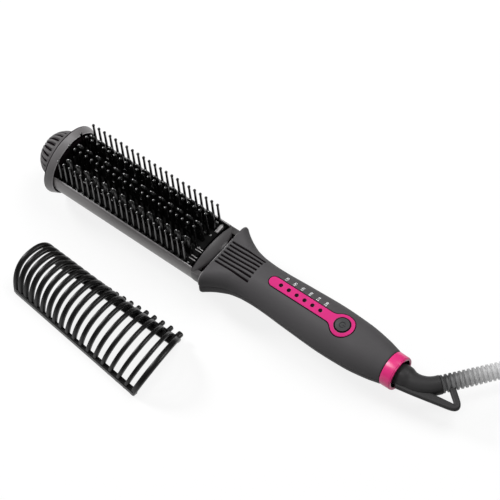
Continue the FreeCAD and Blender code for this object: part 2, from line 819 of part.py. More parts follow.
# Two halves of the casing, parted at the axis.
def build_casing():
    start = size("handle_start")
    end = size("handle_end")
    over = size("overrun")
    outer = handle_form(0)
    hollow = handle_form(size("casing_wall"))
    keep_start = start + size("front_wall")
    keep_end = end - size("end_wall")
    wide = size("flare_half_width") + over
    span = Part.makeBox(keep_end - keep_start, 2 * wide, 2 * wide, Vector(keep_start, -wide, -wide))
    inside = hollow.common(span)
    shell = outer.cut(inside)
    spigot_hole = size("spigot_radius") + size("fit_gap")
    bush_hole = size("bush_radius") + size("fit_gap")
    front = rod(spigot_hole, Vector(start - over, 0, 0), Vector(keep_start + over, 0, 0))
    rear = rod(bush_hole, Vector(keep_end - over, 0, 0), Vector(end + over, 0, 0))
    shell = shell.cut([front, rear])
    above = Part.makeBox(end - start + 2 * over, 2 * wide, wide, Vector(start - over, -wide, 0))
    below = Part.makeBox(end - start + 2 * over, 2 * wide, wide, Vector(start - over, -wide, -wide))

    core = handle_form(size("casing_wall") / 2)
    boss = size("screw_boss_radius")
    places = [size("front_screw_place"), size("rear_screw_place")]
    bosses = [rod(boss, Vector(place, 0, -wide), Vector(place, 0, wide)).common(core) for place in places]
    solid = shell.fuse(bosses)

    upper = solid.common(above)
    grooves = []
    skin = outer.cut(handle_form(size("groove_depth")))
    count = int(size("groove_count"))
    groove_length = size("groove_end") - size("groove_start")
    for step in range(count):
        across = (step - (count - 1) / 2) * size("groove_pitch") - size("groove_width") / 2
        corner = Vector(size("groove_start"), across, 0)
        grooves.append(Part.makeBox(groove_length, size("groove_width"), wide, corner).common(skin))
    opening = panel_prism(size("panel_gap"), size("panel_base_height") - size("guide_thickness"))
    threads = size("screw_radius") + size("thread_gap")
    deep = Vector(0, 0, size("screw_tip_height"))
    holes = [rod(threads, Vector(place, 0, 0), Vector(place, 0, 0) + deep) for place in places]
    feature("upper_casing", upper.cut(grooves + [opening] + holes).removeSplitter())

    lower = solid.common(below)
    posts = []
    for along, across in board_screw_places():
        foot = Vector(along, across, -wide)
        posts.append(rod(size("board_post_radius"), foot, Vector(along, across, board_low())).common(core))
    lower = lower.fuse(posts)
    holes = []
    for place in places:
        seat = Vector(place, 0, size("screw_head_height"))
        holes.append(rod(size("screw_hole_radius"), seat, Vector(place, 0, over)))
        holes.append(rod(size("screw_head_radius") + size("screw_head_gap"), Vector(place, 0, -wide), seat))
    for along, across in board_screw_places():
        top = Vector(along, across, board_low())
        deep = Vector(0, 0, size("board_screw_length"))
        holes.append(rod(size("board_screw_radius") + size("thread_gap"), top - deep, top))
    feature("lower_casing", lower.cut(holes).removeSplitter())

    screws = []
    for place in places:
        seat = Vector(place, 0, size("screw_head_height"))
        tip = Vector(place, 0, size("screw_tip_height") - size("thread_gap"))
        shank = rod(size("screw_radius"), seat, tip)
        head = rod(size("screw_head_radius"), seat - Vector(0, 0, size("screw_head_depth")), seat)
        screws.append(shank.fuse(head))
    feature("casing_screws", Part.makeCompound(screws))


def panel_prism(gap, low):
    # the thermometer outline of the panel: a round-ended bar that runs into a disc
    half = size("bar_half_width") + gap
    start = size("bar_start") + size("bar_half_width")
    centre = size("button_place")
    tall = size("belly_half_height") + size("overrun") - low
    bar = Part.makeBox(centre - start, 2 * half, tall, Vector(start, -half, low))
    end = Part.makeCylinder(half, tall, Vector(start, 0, low))
    disc = Part.makeCylinder(size("bezel_ring_radius") + gap, tall, Vector(centre, 0, low))
    return bar.fuse([end, disc]).removeSplitter()


def board_low():
    return size("panel_base_height") - size("guide_thickness") - size("lamp_height") - size("board_thickness")


def board_screw_places():
    inset = size("board_screw_inset")
    across = size("board_half_width") - inset / 2
    return [
        (along, side * across)
        for along in (size("board_start") + inset, size("board_end") - inset)
        for side in (-1, 1)
    ]


def lamp_places():
    return [size("first_lamp_place") + step * size("lamp_pitch") for step in range(int(size("lamp_count")))]


# Pink bezel, light guide, lamps, board, switch and button, stacked from the panel's base.
def build_panel():
    base = size("panel_base_height")
    centre = size("button_place")
    tall = size("overrun")
    bezel = handle_form(0).common(panel_prism(0, base))
    lamp_holes = [
        Part.makeCylinder(size("lamp_hole_radius"), tall, Vector(along, 0, base)) for along in lamp_places()
    ]
    hole = Part.makeCylinder(size("button_hole_radius"), tall, Vector(centre, 0, base))
    seat_depth = size("button_seat_depth")
    seat_radius = size("button_flange_radius") + size("button_seat_gap")
    seat = Part.makeCylinder(seat_radius, seat_depth, Vector(centre, 0, base))
    feature("panel_bezel", bezel.cut(lamp_holes + [hole, seat]))

    low = base - size("guide_thickness")
    half = size("guide_half_width")
    first = lamp_places()[0] - size("guide_margin")
    last = lamp_places()[-1] + size("guide_margin")
    guide = Part.makeBox(last - first, 2 * half, size("guide_thickness"), Vector(first, -half, low))
    height = size("belly_half_height") - size("lamp_post_recess") - low
    places = lamp_places()
    posts = [Part.makeCylinder(size("lamp_post_radius"), height, Vector(along, 0, low)) for along in places]
    # the posts end a little below the casing, which falls away towards the waist
    skin = handle_form(size("lamp_post_recess"))
    feature("light_guide", guide.fuse([lamp_post.common(skin) for lamp_post in posts]))

    chip = size("lamp_size")
    board_top = low - size("lamp_height")
    lamps = []
    for along in lamp_places():
        corner = Vector(along - chip / 2, -chip / 2, board_top)
        lamps.append(Part.makeBox(chip, chip, size("lamp_height"), corner))
    feature("indicator_lamps", Part.makeCompound(lamps))

    length = size("board_end") - size("board_start")
    half = size("board_half_width")
    corner = Vector(size("board_start"), -half, board_low())
    board = Part.makeBox(length, 2 * half, size("board_thickness"), corner)
    screws = []
    holes = []
    for along, across in board_screw_places():
        top = Vector(along, across, board_top)
        up = Vector(0, 0, size("board_screw_head_depth"))
        deep = Vector(0, 0, size("board_screw_length") + size("board_thickness") - size("thread_gap"))
        shank = rod(size("board_screw_radius"), top - deep, top)
        screws.append(shank.fuse(rod(size("board_screw_head_radius"), top, top + up)))
        holes.append(rod(size("board_screw_radius") + size("thread_gap"), top - deep, top + up))
    feature("circuit_board", board.cut(holes))
    feature("board_screws", Part.makeCompound(screws))

    flange_low = base + seat_depth - size("button_flange_thickness")
    press = flange_low - size("button_travel") - size("plunger_gap")
    wide = size("switch_width")
    corner = Vector(centre - wide / 2, -wide / 2, board_top)
    body = Part.makeBox(wide, wide, size("switch_height"), corner)
    plunger = Part.makeCylinder(size("plunger_radius"), press - board_top, Vector(centre, 0, board_top))
    feature("push_switch", body.fuse(plunger))

    top = size("belly_half_height") + size("button_proud")
    flange = Part.makeCylinder(
        size("button_flange_radius"), size("button_flange_thickness"), Vector(centre, 0, flange_low)
    )
    cap = Part.makeCylinder(size("button_radius"), top - flange_low, Vector(centre, 0, flange_low))
    feature("power_button", flange.fuse(cap))


# Pairs of leads from the head to the board, and from the board to the swivel.
def build_leads():
    under = board_low() - size("lead_radius") - size("lead_gap")
    head = []
    mains = []
    for side in (-1, 1):
        first = Vector(size("head_lead_start"), side * size("head_lead_offset"), size("head_lead_height"))
        last = Vector(size("board_start"), side * size("head_lead_end_offset"), under)
        head.append(rod(size("lead_radius"), first, last))
        bush_face = size("handle_end") - size("end_wall") - size("bush_flange_depth") - size("lead_gap")
        first = Vector(size("board_end"), side * size("mains_lead_offset"), under)
        last = Vector(bush_face - size("lead_radius"), side * size("mains_lead_end_offset"), 0)
        mains.append(rod(size("lead_radius"), first, last))
    feature("head_leads", Part.makeCompound(head))
    feature("mains_leads", Part.makeCompound(mains))


# Pink cup at the end of the handle, and the bush that holds it and carries the swivel.
def build_end():
    ring = turned("end_ring", (
        ("handle_end", "bush_radius + fit_gap"),
        ("handle_end", "end_ring_radius"),
        ("handle_end + end_ring_depth", "end_ring_mouth_radius"),
        ("handle_end + end_ring_depth", "end_ring_bore"),
        ("handle_end + end_ring_floor", "end_ring_bore"),
        ("handle_end + end_ring_floor", "bush_radius + fit_gap"),
    ))
    node(ring, "end_ring", "brush")
    inner_end = "handle_end + end_ring_floor - bush_length"
    flange_end = "handle_end - end_wall"
    bush = turned("swivel_bush", (
        (inner_end, "bush_bore"),
        (inner_end, "bush_radius"),
        ("handle_end - end_wall - bush_flange_depth", "bush_radius"),
        ("handle_end - end_wall - bush_flange_depth", "bush_flange_radius"),
        (flange_end, "bush_flange_radius"),
        (flange_end, "bush_radius"),
        ("handle_end + end_ring_floor", "bush_radius"),
        ("handle_end + end_ring_floor", "bush_bore"),
    ))
    node(bush, "swivel_bush", "brush")


def cord_direction():
    turn = math.radians(size("elbow_turn"))
    return Vector(math.cos(turn), math.sin(turn), 0)


# Turning neck with its elbow, the hanging loop and the ribbed sleeve.
def build_swivel():
    stub_end = "handle_end + end_ring_floor - bush_length - fit_gap"
    neck_start = "handle_end + end_ring_floor + fit_gap"
    stub = turned("swivel_stub", (
        (f"{stub_end} - stub_flange_depth", "0"),
        (f"{stub_end} - stub_flange_depth", "stub_flange_radius"),
        (stub_end, "stub_flange_radius"),
        (stub_end, "stub_radius"),
        (neck_start, "stub_radius"),
        (neck_start, "neck_radius"),
        ("neck_mouth_place", "neck_mouth_radius"),
        ("neck_end_place", "elbow_radius"),
        ("neck_end_place", "0"),
    ))
    turn = math.radians(size("elbow_turn"))
    bend = size("elbow_bend_radius")
    radius = size("elbow_radius")
    corner = Vector(size("elbow_place"), 0, 0)
    away = cord_direction()
    reach = bend * math.tan(turn / 2)
    bend_start = corner - Vector(reach, 0, 0)
    sleeve_start = corner + away * size("sleeve_offset")
    neck_end = Vector(size("neck_end_place"), 0, 0)
    bend_end = corner + away * reach
    inward = (away - Vector(1, 0, 0)).normalize()
    middle = corner + inward * (bend / math.cos(turn / 2) - bend)
    path = Part.Wire([
        line(neck_end, bend_start),
        arc(bend_start, middle, bend_end),
        line(bend_end, sleeve_start),
    ])
    section = Part.Wire(Part.Circle(neck_end, Vector(1, 0, 0), radius).toShape())
    elbow = path.makePipeShell([section], True, False)
    doc.recompute()
    neck = stub.Shape.fuse(elbow).removeSplitter()
    feature("swivel_neck", neck, "cord_end")

    count = int(size("rib_count"))
    pitch = size("sleeve_length") / count
    crest = size("rib_radius")
    root = size("rib_root_radius")
    steady = Vector(-away.y, away.x, 0)
    wires = []
    for step in range(count):
        foot = sleeve_start + away * (pitch * step)
        for share, rib in zip(rib_place_shares, (root, crest, crest, root)):
            ring = Part.Circle(foot + away * (pitch * share), away, rib)
            ring.XAxis = steady
            wires.append(Part.Wire(ring.toShape()))
    sleeve = Part.makeLoft(wires, True, True)
    sleeve_end = sleeve_start + away * size("sleeve_length")
    bore_radius = size("cord_radius") + size("fit_gap")
    bore_floor = sleeve_end - away * size("sleeve_bore_depth")
    bore = rod(bore_radius, bore_floor, sleeve_end + away * size("overrun"))
    feature("ribbed_sleeve", sleeve.cut(bore), "cord_end")

    # the loop is a bar from the neck to a round corner and back to the sleeve
    root_point = Vector(size("neck_end_place"), size("loop_root_offset"), 0)
    tip_point = Vector(size("neck_end_place") + size("loop_length") + size("loop_bar_radius"), 0, 0)
    tip_point.y = size("loop_corner_offset")
    end_point = Vector(corner.x + size("loop_end_run"), size("loop_end_offset"), 0)
    first = (tip_point - root_point).normalize()
    second = (end_point - tip_point).normalize()
    angle = first.getAngle(second)
    radius = size("loop_corner_radius")
    trim = radius * math.tan(angle / 2)
    begin = tip_point - first * trim
    finish = tip_point + second * trim
    inward = (second - first).normalize()
    middle = tip_point + inward * (radius / math.cos(angle / 2) - radius)
    path = Part.Wire([line(root_point, begin), arc(begin, middle, finish), line(finish, end_point)])
    section = Part.Wire(Part.Circle(root_point, first, size("loop_bar_radius")).toShape())
    bar = path.makePipeShell([section], True, False)
    envelope = rod(crest, sleeve_start, sleeve_end)
    feature("hang_loop", bar.cut([envelope, neck]), "cord_end")


def rounded_path(points):
    # straight runs joined by arcs as large as the shorter run allows
    edges = []
    radii = []
    here = points[0]
    for before, corner, after in zip(points, points[1:], points[2:]):
        coming = (corner - before).normalize()
        going = (after - corner).normalize()
        turn = coming.getAngle(going)
        trim = arc_run_share * min((corner - before).Length, (after - corner).Length)
        radius = trim / math.tan(turn / 2)
        begin = corner - coming * trim
        finish = corner + going * trim
        inward = (going - coming).normalize()
        middle = corner + inward * (radius / math.cos(turn / 2) - radius)
        edges.append(line(here, begin))
        edges.append(arc(begin, middle, finish))
        radii.append(round(radius, 1))
        here = finish
    edges.append(line(here, points[-1]))
    return Part.Wire(edges), radii


def biarc(first, first_way, last, last_way):
    # two arcs that join two points with given directions
    gap = last - first
    both = first_way + last_way
    spread = 2 * (1 - first_way.dot(last_way))
    lean = gap.dot(both)
    reach = (-lean + math.sqrt(lean**2 + spread * gap.dot(gap))) / spread
    near = first + first_way * reach
    far = last - last_way * reach
    joint = (near + far) * 0.5
    return [arc_to(first, near, joint), arc_to(joint, far, last)]


def arc_to(first, corner, last):
    chord = (first + last) * 0.5
    reach = (corner - first).Length
    sine = (corner - chord).Length / reach
    radius = reach * math.sqrt(1 - sine**2) / sine
    toward = (chord - corner).normalize()
    return arc(first, corner + toward * (reach / sine - radius), last)


def coil_point(turn, start_angle, turns_each, base):
    # a spiral in on the lower layer, a climb in the half turn where it reverses, a spiral out on top
    spacing = size("coil_spacing")
    inner = size("coil_middle_radius") - spacing * turns_each / 2
    climb = turn - turns_each
    if climb <= 0:
        radius = inner - climb * spacing
        height = base
    elif climb <= climb_share:
        radius = inner - spacing * climb * (1 - climb / climb_share)
        height = base + spacing * (1 - math.cos(math.pi * climb / climb_share)) / 2
    else:
        radius = inner + (climb - climb_share) * spacing
        height = base + spacing
    angle = start_angle - 2 * math.pi * turn
    return Vector(radius * math.cos(angle), radius * math.sin(angle), height)


def resting_pose():
    # the brush tips until a second place touches the surface that the flange's rim stands on
    touching = [(along, height) for along, _, height, _ in handle_sections()]
    touching.append((size("shell_end"), size("shell_radius")))
    touching.append((size("shell_end") + size("collar_depth"), size("collar_radius")))
    falls = [
        (size("flange_radius") - height) / (along - size("flange_land"))
        for along, height in touching
    ]
    tilt = math.atan(min(falls))
    lift = size("flange_radius") * math.cos(tilt) + size("flange_land") * math.sin(tilt)
    return FreeCAD.Placement(Vector(0, 0, lift), FreeCAD.Rotation(Vector(0, 1, 0), math.degrees(tilt)))


def cord_route():
    # out of the sleeve's bore, down to the surface, and along it to the coil
    pose = resting_pose()
    away = cord_direction()
    reach = size("sleeve_offset") + size("sleeve_length") - size("sleeve_bore_depth") + size("fit_gap")
    first = Vector(size("elbow_place"), 0, 0) + away * reach
    start = pose.multVec(first)
    second = pose.multVec(first + away * size("cord_run"))
    flat = Vector(second.x - start.x, second.y - start.y, 0).normalize()
    third = second + flat * size("cord_run")
    third.z = size("cord_radius") + size("tie_wall") + size("tie_gap")
    bend = FreeCAD.Rotation(Vector(0, 0, 1), size("cord_bend"))
    return [start, second, third, third + bend.multVec(flat) * size("cord_run")]


# Free cord, its coil with a tie, the tail and a two-pin plug.
def build_cord():
    radius = size("cord_radius")
    route = cord_route()
    path, radii = rounded_path(route)
    section = Part.Wire(Part.Circle(route[0], route[1] - route[0], radius).toShape())
    tube = path.makePipeShell([section], True, False)
    area = math.pi * radius**2
    length_free = path.Length
    print("cord radii", radii, "volume ratio", round(tube.Volume / (area * length_free), 4))
    feature("cord_tube", tube, "lying")

    way = (route[-1] - route[-2]).normalize()
    base = route[-1].z
    turn_to_exit = math.degrees(math.atan2(way.y, way.x)) - size("coil_exit_turn")
    turns = size("coil_whole_turns") + turn_to_exit / 360
    turns_each = (turns - climb_share) / 2
    outer = size("coil_middle_radius") + size("coil_spacing") * turns_each / 2
    inner = size("coil_middle_radius") - size("coil_spacing") * turns_each / 2
    right = Vector(way.y, -way.x, 0)
    entry = route[-1] + way * (2 * radius)
    centre = entry + right * outer
    start_angle = math.atan2(-right.y, -right.x)
    flat = Vector(centre.x, centre.y, 0)

    def place(turn):
        return flat + coil_point(turn, start_angle, turns_each, base)

    def heading(turn):
        return (place(turn + heading_share) - place(turn - heading_share)).normalize()

    count = math.ceil(turns_each / coil_arc_share)
    lower = [turns_each * number / count for number in range(count + 1)]
    eighth = coil_arc_share / 2
    climbing = [turns_each + eighth * number for number in range(1, round(climb_share / eighth))]
    stops = lower + climbing + [turns - stop for stop in reversed(lower)]
    points = [place(stop) for stop in stops]
    ways = [heading(stop) for stop in stops]
    exit_turn = math.radians(size("coil_exit_turn"))
    leaving = Vector(math.cos(exit_turn), math.sin(exit_turn), 0)
    ways[0] = way
    ways[-1] = leaving
    edges = [line(route[-1], points[0])]
    for number in range(len(points) - 1):
        edges += biarc(points[number], ways[number], points[number + 1], ways[number + 1])
    coil_exit = points[-1] + leaving * (2 * radius)
    edges.append(line(points[-1], coil_exit))
    spine = Part.Wire(edges)
    section = Part.Wire(Part.Circle(route[-1], way, radius).toShape())
    coil = spine.makePipeShell([section], True, False)
    samples = spine.discretize(int(spine.Length / radius))
    quarter = int(math.pi * inner / 2 / radius)
    least = min(
        (one - two).Length
        for number, one in enumerate(samples)
        for two in samples[number + quarter:]
    )
    ratio = round(coil.Volume / (area * spine.Length), 4)
    print("coil self gap", round(least - 2 * radius, 2), "volume ratio", ratio)
    feature("cord_coil", coil, "lying")

    # a strap round the turns on the side away from the brush
    gap = size("tie_gap")
    wall = size("tie_wall")
    wide = size("tie_width")
    low = base - radius - gap
    high = base + size("coil_spacing") + radius + gap
    near = inner - radius - gap - size("coil_spacing") / 2
    far = outer + radius + gap
    corner = flat + Vector(-wide / 2, -far - wall, low - wall)
    outside = Part.makeBox(wide, far - near + 2 * wall, high - low + 2 * wall, corner)
    corner = flat + Vector(-wide, -far, low)
    inside = Part.makeBox(2 * wide, far - near, high - low, corner)
    feature("cord_tie", outside.cut(inside), "lying")

    run = leaving * size("tail_run")
    axis = size("plug_height") / 2
    drop = Vector(0, 0, axis - coil_exit.z)
    tail_route = [coil_exit, coil_exit + run, coil_exit + run * 2 + drop, coil_exit + run * 3 + drop]
    path, radii = rounded_path(tail_route)
    section = Part.Wire(Part.Circle(coil_exit, leaving, radius).toShape())
    tail = path.makePipeShell([section], True, False)
    print("tail radii", radii, "volume ratio", round(tail.Volume / (area * path.Length), 4))
    feature("cord_tail", tail, "lying")
    print("cord length", round(length_free + spine.Length + path.Length, 1))

    # the plug's pins point along the tail
    back = tail_route[-1]
    across = Vector(-leaving.y, leaving.x, 0)
    up = Vector(0, 0, size("plug_height"))
    half = size("plug_width") / 2
    neck = size("plug_neck_width") / 2
    shoulder = size("plug_shoulder_length")
    length = size("plug_length")
    floor = Vector(back.x, back.y, back.z - axis)
    corners = [
        floor - across * neck,
        floor - across * half + leaving * shoulder,
        floor - across * half + leaving * length,
        floor + across * half + leaving * length,
        floor + across * half + leaving * shoulder,
        floor + across * neck,
    ]
    body = prism(corners, up)
    uprights = [edge for edge in body.Edges if abs(edge.BoundBox.ZLength - up.z) < radius]
    feature("plug_body", body.makeFillet(neck / 2, uprights), "lying")
    pins = []
    for side in (-1, 1):
        foot = back + leaving * length + across * (side * size("plug_pin_spacing") / 2)
        tip = foot + leaving * size("plug_pin_length")
        pins.append(rod(size("plug_pin_radius"), foot, tip))
    feature("plug_pins", Part.makeCompound(pins), "lying")
    print("route", route, "coil centre", flat, "turns", turns, "tail", tail_route)


def guard_rib(reach):
    # near foot, far foot, rise and width of the rib at a share of the guard's length
    length = size("guard_length") - size("guard_rear_rib_width")
    width = size("guard_tip_width") + reach * (size("guard_rear_width") - size("guard_tip_width"))
    skew = size("guard_tip_skew") + reach * (size("guard_rear_skew") - size("guard_tip_skew"))
    height = size("guard_tip_height") + reach * (size("guard_rear_height") - size("guard_tip_height"))
    wide = size("guard_tip_rib_width")
    wide += reach * (size("guard_rear_rib_width") - size("guard_tip_rib_width"))
    near = Vector(reach * length, 0, 0)
    far = Vector(reach * length + skew, width, 0)
    rise = Vector(reach * size("guard_rear_lean"), (1 - reach) * size("guard_tip_lean"), height)
    return near, far, rise, wide


def arch(near, far, rise, steps):
    # half an ellipse from foot to foot
    middle = (near + far) * 0.5
    half = (far - near) * 0.5
    points = []
    for step in range(steps + 1):
        turn = math.pi * step / steps
        points.append(middle - half * math.cos(turn) + rise * math.sin(turn))
    curve = Part.BSplineCurve()
    curve.interpolate(points)
    return curve.toShape()


# Comb guard: a rail and a flat foot under a row of arched ribs, which end in short teeth on the far side.
def build_guard():
    thick = size("guard_rib_thickness")
    rail = size("guard_rail_width")
    count = int(size("guard_rib_count"))
    low = size("guard_tooth_low")
    pieces = [Part.makeBox(size("guard_length"), rail, size("guard_rail_height"))]
    _, first, _, _ = guard_rib(0)
    _, last, _, wide = guard_rib(1)
    end = last + Vector(wide, 0, 0)
    corners = (
        first,
        end,
        end - Vector(0, size("guard_foot_rear_width"), 0),
        first - Vector(0, size("guard_foot_tip_width"), 0),
    )
    pieces.append(prism(corners, Vector(0, 0, size("guard_foot_height"))))
    for step in range(count):
        share = step / (count - 1)
        near, far, rise, wide = guard_rib(share * (1 - guard_growth_share) + guard_growth_share * share**2)
        way = (far - near).normalize()
        # each foot starts inside its rail, so that the arch leaves the rail at its top
        near_foot = near + way * (rail / 3)
        far_foot = far - way * (rail / 3)
        lower = rise * (1 - thick / rise.z)
        outside = arch(near_foot, far_foot, rise, count)
        inside = arch(near_foot + way * thick, far_foot - way * thick, lower, count)
        feet = [line(far_foot, far_foot - way * thick), line(near_foot + way * thick, near_foot)]
        rib = Part.Face(Part.Wire([outside, feet[0], inside, feet[1]])).extrude(Vector(wide, 0, 0))
        depth = thick + rail / 3
        corner = far + Vector(0, -depth, low)
        tooth = Part.makeBox(wide, depth + size("guard_tooth_length"), size("guard_tooth_high") - low, corner)
        pieces += [rib, tooth]
    feature("comb_guard", pieces[0].fuse(pieces[1:]).removeSplitter(), "guard")


build_tip()
build_shell()
build_bed()
build_pins()
build_combs()
build_heater()
build_collar()
build_casing()
build_panel()
build_leads()
build_end()
build_swivel()
build_cord()
build_guard()
doc.recompute()

# The brush rests on its flange and collar, and the guard lies beside it.
resting = resting_pose()
beside = FreeCAD.Placement(
    Vector(size("guard_place_along"), size("guard_place_across"), 0),
    FreeCAD.Rotation(Vector(0, 0, 1), size("guard_yaw")),
)
poses = {"brush": resting, "cord_end": resting, "lying": FreeCAD.Placement(), "guard": beside}
for item, group in nodes:
    item.Placement = poses[group]
doc.recompute()

# The origin is on that surface, under the middle of the brush and guard without the cord.
cord_pieces = ("ribbed_sleeve", "cord_tube", "cord_coil", "cord_tie", "cord_tail", "plug_body", "plug_pins")
span = FreeCAD.BoundBox()
for item, group in nodes:
    if item.Label not in cord_pieces:
        span.add(item.Shape.BoundBox)
shift = FreeCAD.Placement(Vector(-span.Center.x, -span.Center.y, 0), FreeCAD.Rotation())
for item, group in nodes:
    item.Placement = shift.multiply(poses[group])
doc.recompute()
print("tilt", math.degrees(resting.Rotation.Angle), "lift", resting.Base.z, "shift", shift.Base)

for item in doc.Objects:
    if "Invalid" in item.State or "Error" in item.State:
        raise RuntimeError(f"{item.Name} failed")
os.makedirs("parts", exist_ok=True)
for item, group in nodes:
    if item.Shape.isNull() or not item.Shape.isValid():
        raise RuntimeError(f"{item.Label} has no valid shape")
    item.Shape.exportStep(f"parts/{item.Label}.step")
print(len(nodes), "nodes")
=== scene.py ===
import bmesh
import bpy
import json
import math
import numpy as np
from mathutils import Matrix, Vector

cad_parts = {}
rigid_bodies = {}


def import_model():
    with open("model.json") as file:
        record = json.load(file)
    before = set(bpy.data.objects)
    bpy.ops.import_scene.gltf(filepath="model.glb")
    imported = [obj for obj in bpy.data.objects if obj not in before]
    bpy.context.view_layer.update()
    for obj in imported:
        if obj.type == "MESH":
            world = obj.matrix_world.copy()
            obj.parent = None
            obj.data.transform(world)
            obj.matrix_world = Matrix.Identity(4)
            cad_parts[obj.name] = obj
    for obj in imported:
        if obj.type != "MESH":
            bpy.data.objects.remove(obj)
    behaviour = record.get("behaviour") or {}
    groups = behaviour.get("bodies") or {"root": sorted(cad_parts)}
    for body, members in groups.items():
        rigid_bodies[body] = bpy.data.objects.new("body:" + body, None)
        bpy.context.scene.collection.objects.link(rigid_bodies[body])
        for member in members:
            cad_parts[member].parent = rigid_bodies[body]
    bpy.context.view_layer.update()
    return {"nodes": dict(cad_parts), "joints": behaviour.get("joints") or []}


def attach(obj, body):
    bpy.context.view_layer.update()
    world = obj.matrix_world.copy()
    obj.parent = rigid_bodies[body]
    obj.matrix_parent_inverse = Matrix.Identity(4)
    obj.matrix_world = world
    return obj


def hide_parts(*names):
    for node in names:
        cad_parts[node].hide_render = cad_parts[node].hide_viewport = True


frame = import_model()
print("frame loaded:", len(frame["nodes"]), "nodes")

# how the brush lies: the swivel joint runs along its axis, through a point whose place along it is known
swivel = next(joint for joint in frame["joints"] if joint["name"] == "cord_swivel")
swivelPlace = 285.0  # mm from the back of the tip flange
tilt = math.atan2(-swivel["axis"][2], swivel["axis"][0])
tiltCos, tiltSin = math.cos(tilt), math.sin(tilt)
lift = swivel["pos_m"][2] * 1000 + swivelPlace * tiltSin
shift = (swivel["pos_m"][0] * 1000 - swivelPlace * tiltCos, swivel["pos_m"][1] * 1000)


def pointGrid(x, y, z):
    # points from three numbers or arrays, each stretched to the shape they share
    return np.stack(np.broadcast_arrays(x, y, z), -1)


def fromBrush(points):
    # brush axes in mm to the row frame in m: turn about Y by the tilt, then lift and shift
    x, y, z = np.moveaxis(np.asarray(points, float), -1, 0)
    up = z * tiltCos - x * tiltSin + lift
    return pointGrid(x * tiltCos + z * tiltSin + shift[0], y + shift[1], up) / 1000


def fromFloor(points):
    # floor axes in mm to the row frame in m: shift only
    p = np.asarray(points, float)
    return (p + np.array([*shift, 0.0])) / 1000


def smoothStep(low, high, value):
    # 0 below low, 1 above high, an S curve between
    t = np.clip((value - low) / (high - low), 0, 1)
    return t * t * (3 - 2 * t)


def easyCurve(xs, ys, at):
    # monotone cubic through the points: Hermite with harmonic-mean slopes
    xs, ys, at = np.asarray(xs, float), np.asarray(ys, float), np.asarray(at, float)
    step = np.diff(xs)
    rise = np.diff(ys) / step
    slope = np.zeros(len(xs))
    slope[0], slope[-1] = rise[0], rise[-1]
    same = rise[:-1] * rise[1:] > 0
    both = np.where(same, rise[:-1] + rise[1:], 1)
    slope[1:-1] = np.where(same, 2 * rise[:-1] * rise[1:] / both, 0)
    k = np.clip(np.searchsorted(xs, at) - 1, 0, len(step) - 1)
    t = np.clip((at - xs[k]) / step[k], 0, 1)
    h = step[k]
    return ((1 + 2 * t) * (1 - t) ** 2 * ys[k] + t * (1 - t) ** 2 * h * slope[k]
            + t * t * (3 - 2 * t) * ys[k + 1] + t * t * (t - 1) * h * slope[k + 1])


def gridFaces(rows, cols, along, offset):
    # quads between neighbours of a grid of points; each row is a ring, and along closes the rows too
    idx = np.arange(rows * cols).reshape(rows, cols) + offset
    below = np.roll(idx, -1, 0) if along else idx[1:]
    above = idx if along else idx[:-1]
    return np.stack([above, np.roll(above, -1, 1), np.roll(below, -1, 1), below], -1).reshape(-1, 4)


class Clay:
    # gathers grids of points into one mesh
    def __init__(self):
        self.points, self.faces, self.count = [], [], 0

    def add(self, grid, along=False, caps=True):
        # quads over the grid; an open tube gets a fan to the middle of each end ring
        rows, cols = grid.shape[:2]
        self.points.append(grid.reshape(-1, 3))
        self.faces += gridFaces(rows, cols, along, self.count).tolist()
        first = self.count
        self.count += rows * cols
        if caps and not along:
            for row in (0, rows - 1):
                self.points.append(grid[row].mean(0)[None])
                ring = first + row * cols + np.arange(cols)
                hub = np.full(cols, self.count)
                self.faces += np.stack([ring, np.roll(ring, -1), hub], -1).tolist()
                self.count += 1
        return self

    def strip(self, one, two):
        # quads between two lines of points that are already in the mesh
        self.faces += np.stack([one[:-1], one[1:], two[1:], two[:-1]], -1).tolist()

    def shape(self, name, crease=32):
        # the mesh, with doubled points joined, normals outward and edges over the crease angle sharp
        mesh = bpy.data.meshes.new(name)
        mesh.from_pydata(np.concatenate(self.points).tolist(), [], self.faces)
        work = bmesh.new()
        work.from_mesh(mesh)
        bmesh.ops.remove_doubles(work, verts=work.verts, dist=2e-6)
        bmesh.ops.dissolve_degenerate(work, edges=work.edges, dist=1e-6)
        bmesh.ops.recalc_face_normals(work, faces=work.faces)
        work.to_mesh(mesh)
        work.free()
        mesh.polygons.foreach_set("use_smooth", np.ones(len(mesh.polygons), bool))
        mesh.set_sharp_from_angle(angle=math.radians(crease))
        return mesh


def newObject(name, data):
    # an object of its data, linked to the scene
    obj = bpy.data.objects.new(name, data)
    bpy.context.scene.collection.objects.link(obj)
    return obj


def piece(name, mesh, look, body, nodes=()):
    # an object with one finish that rides on a body and stands in for the nodes named
    obj = newObject(name, mesh)
    mesh.materials.clear()
    mesh.materials.append(look)
    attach(obj, body)
    if nodes:
        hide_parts(*nodes)
    return obj


def brushMesh(name, grid, crease=32, **closing):
    # one grid of points on the brush's axes, as a mesh
    return Clay().add(fromBrush(grid), **closing).shape(name, crease)


def fullTurn(sides):
    # equal angles round a circle, the first not repeated
    return np.linspace(0, 2 * math.pi, sides, endpoint=False)


def lathe(profile, sides, turn=None):
    # an outline of places along X and radii, turned about the brush's axis, all round or between two angles
    x, radius = (column[:, None] for column in np.asarray(profile, float).T)
    angle = fullTurn(sides) if turn is None else np.linspace(*turn, sides)
    return pointGrid(x, radius * np.cos(angle), radius * np.sin(angle))


def upright(profile, sides, x, y=0.0):
    # an outline of radii and heights, turned about a standing axis at x and y
    radius, height = (column[:, None] for column in np.asarray(profile, float).T)
    turn = fullTurn(sides)
    return pointGrid(x + radius * np.cos(turn), y + radius * np.sin(turn), height)


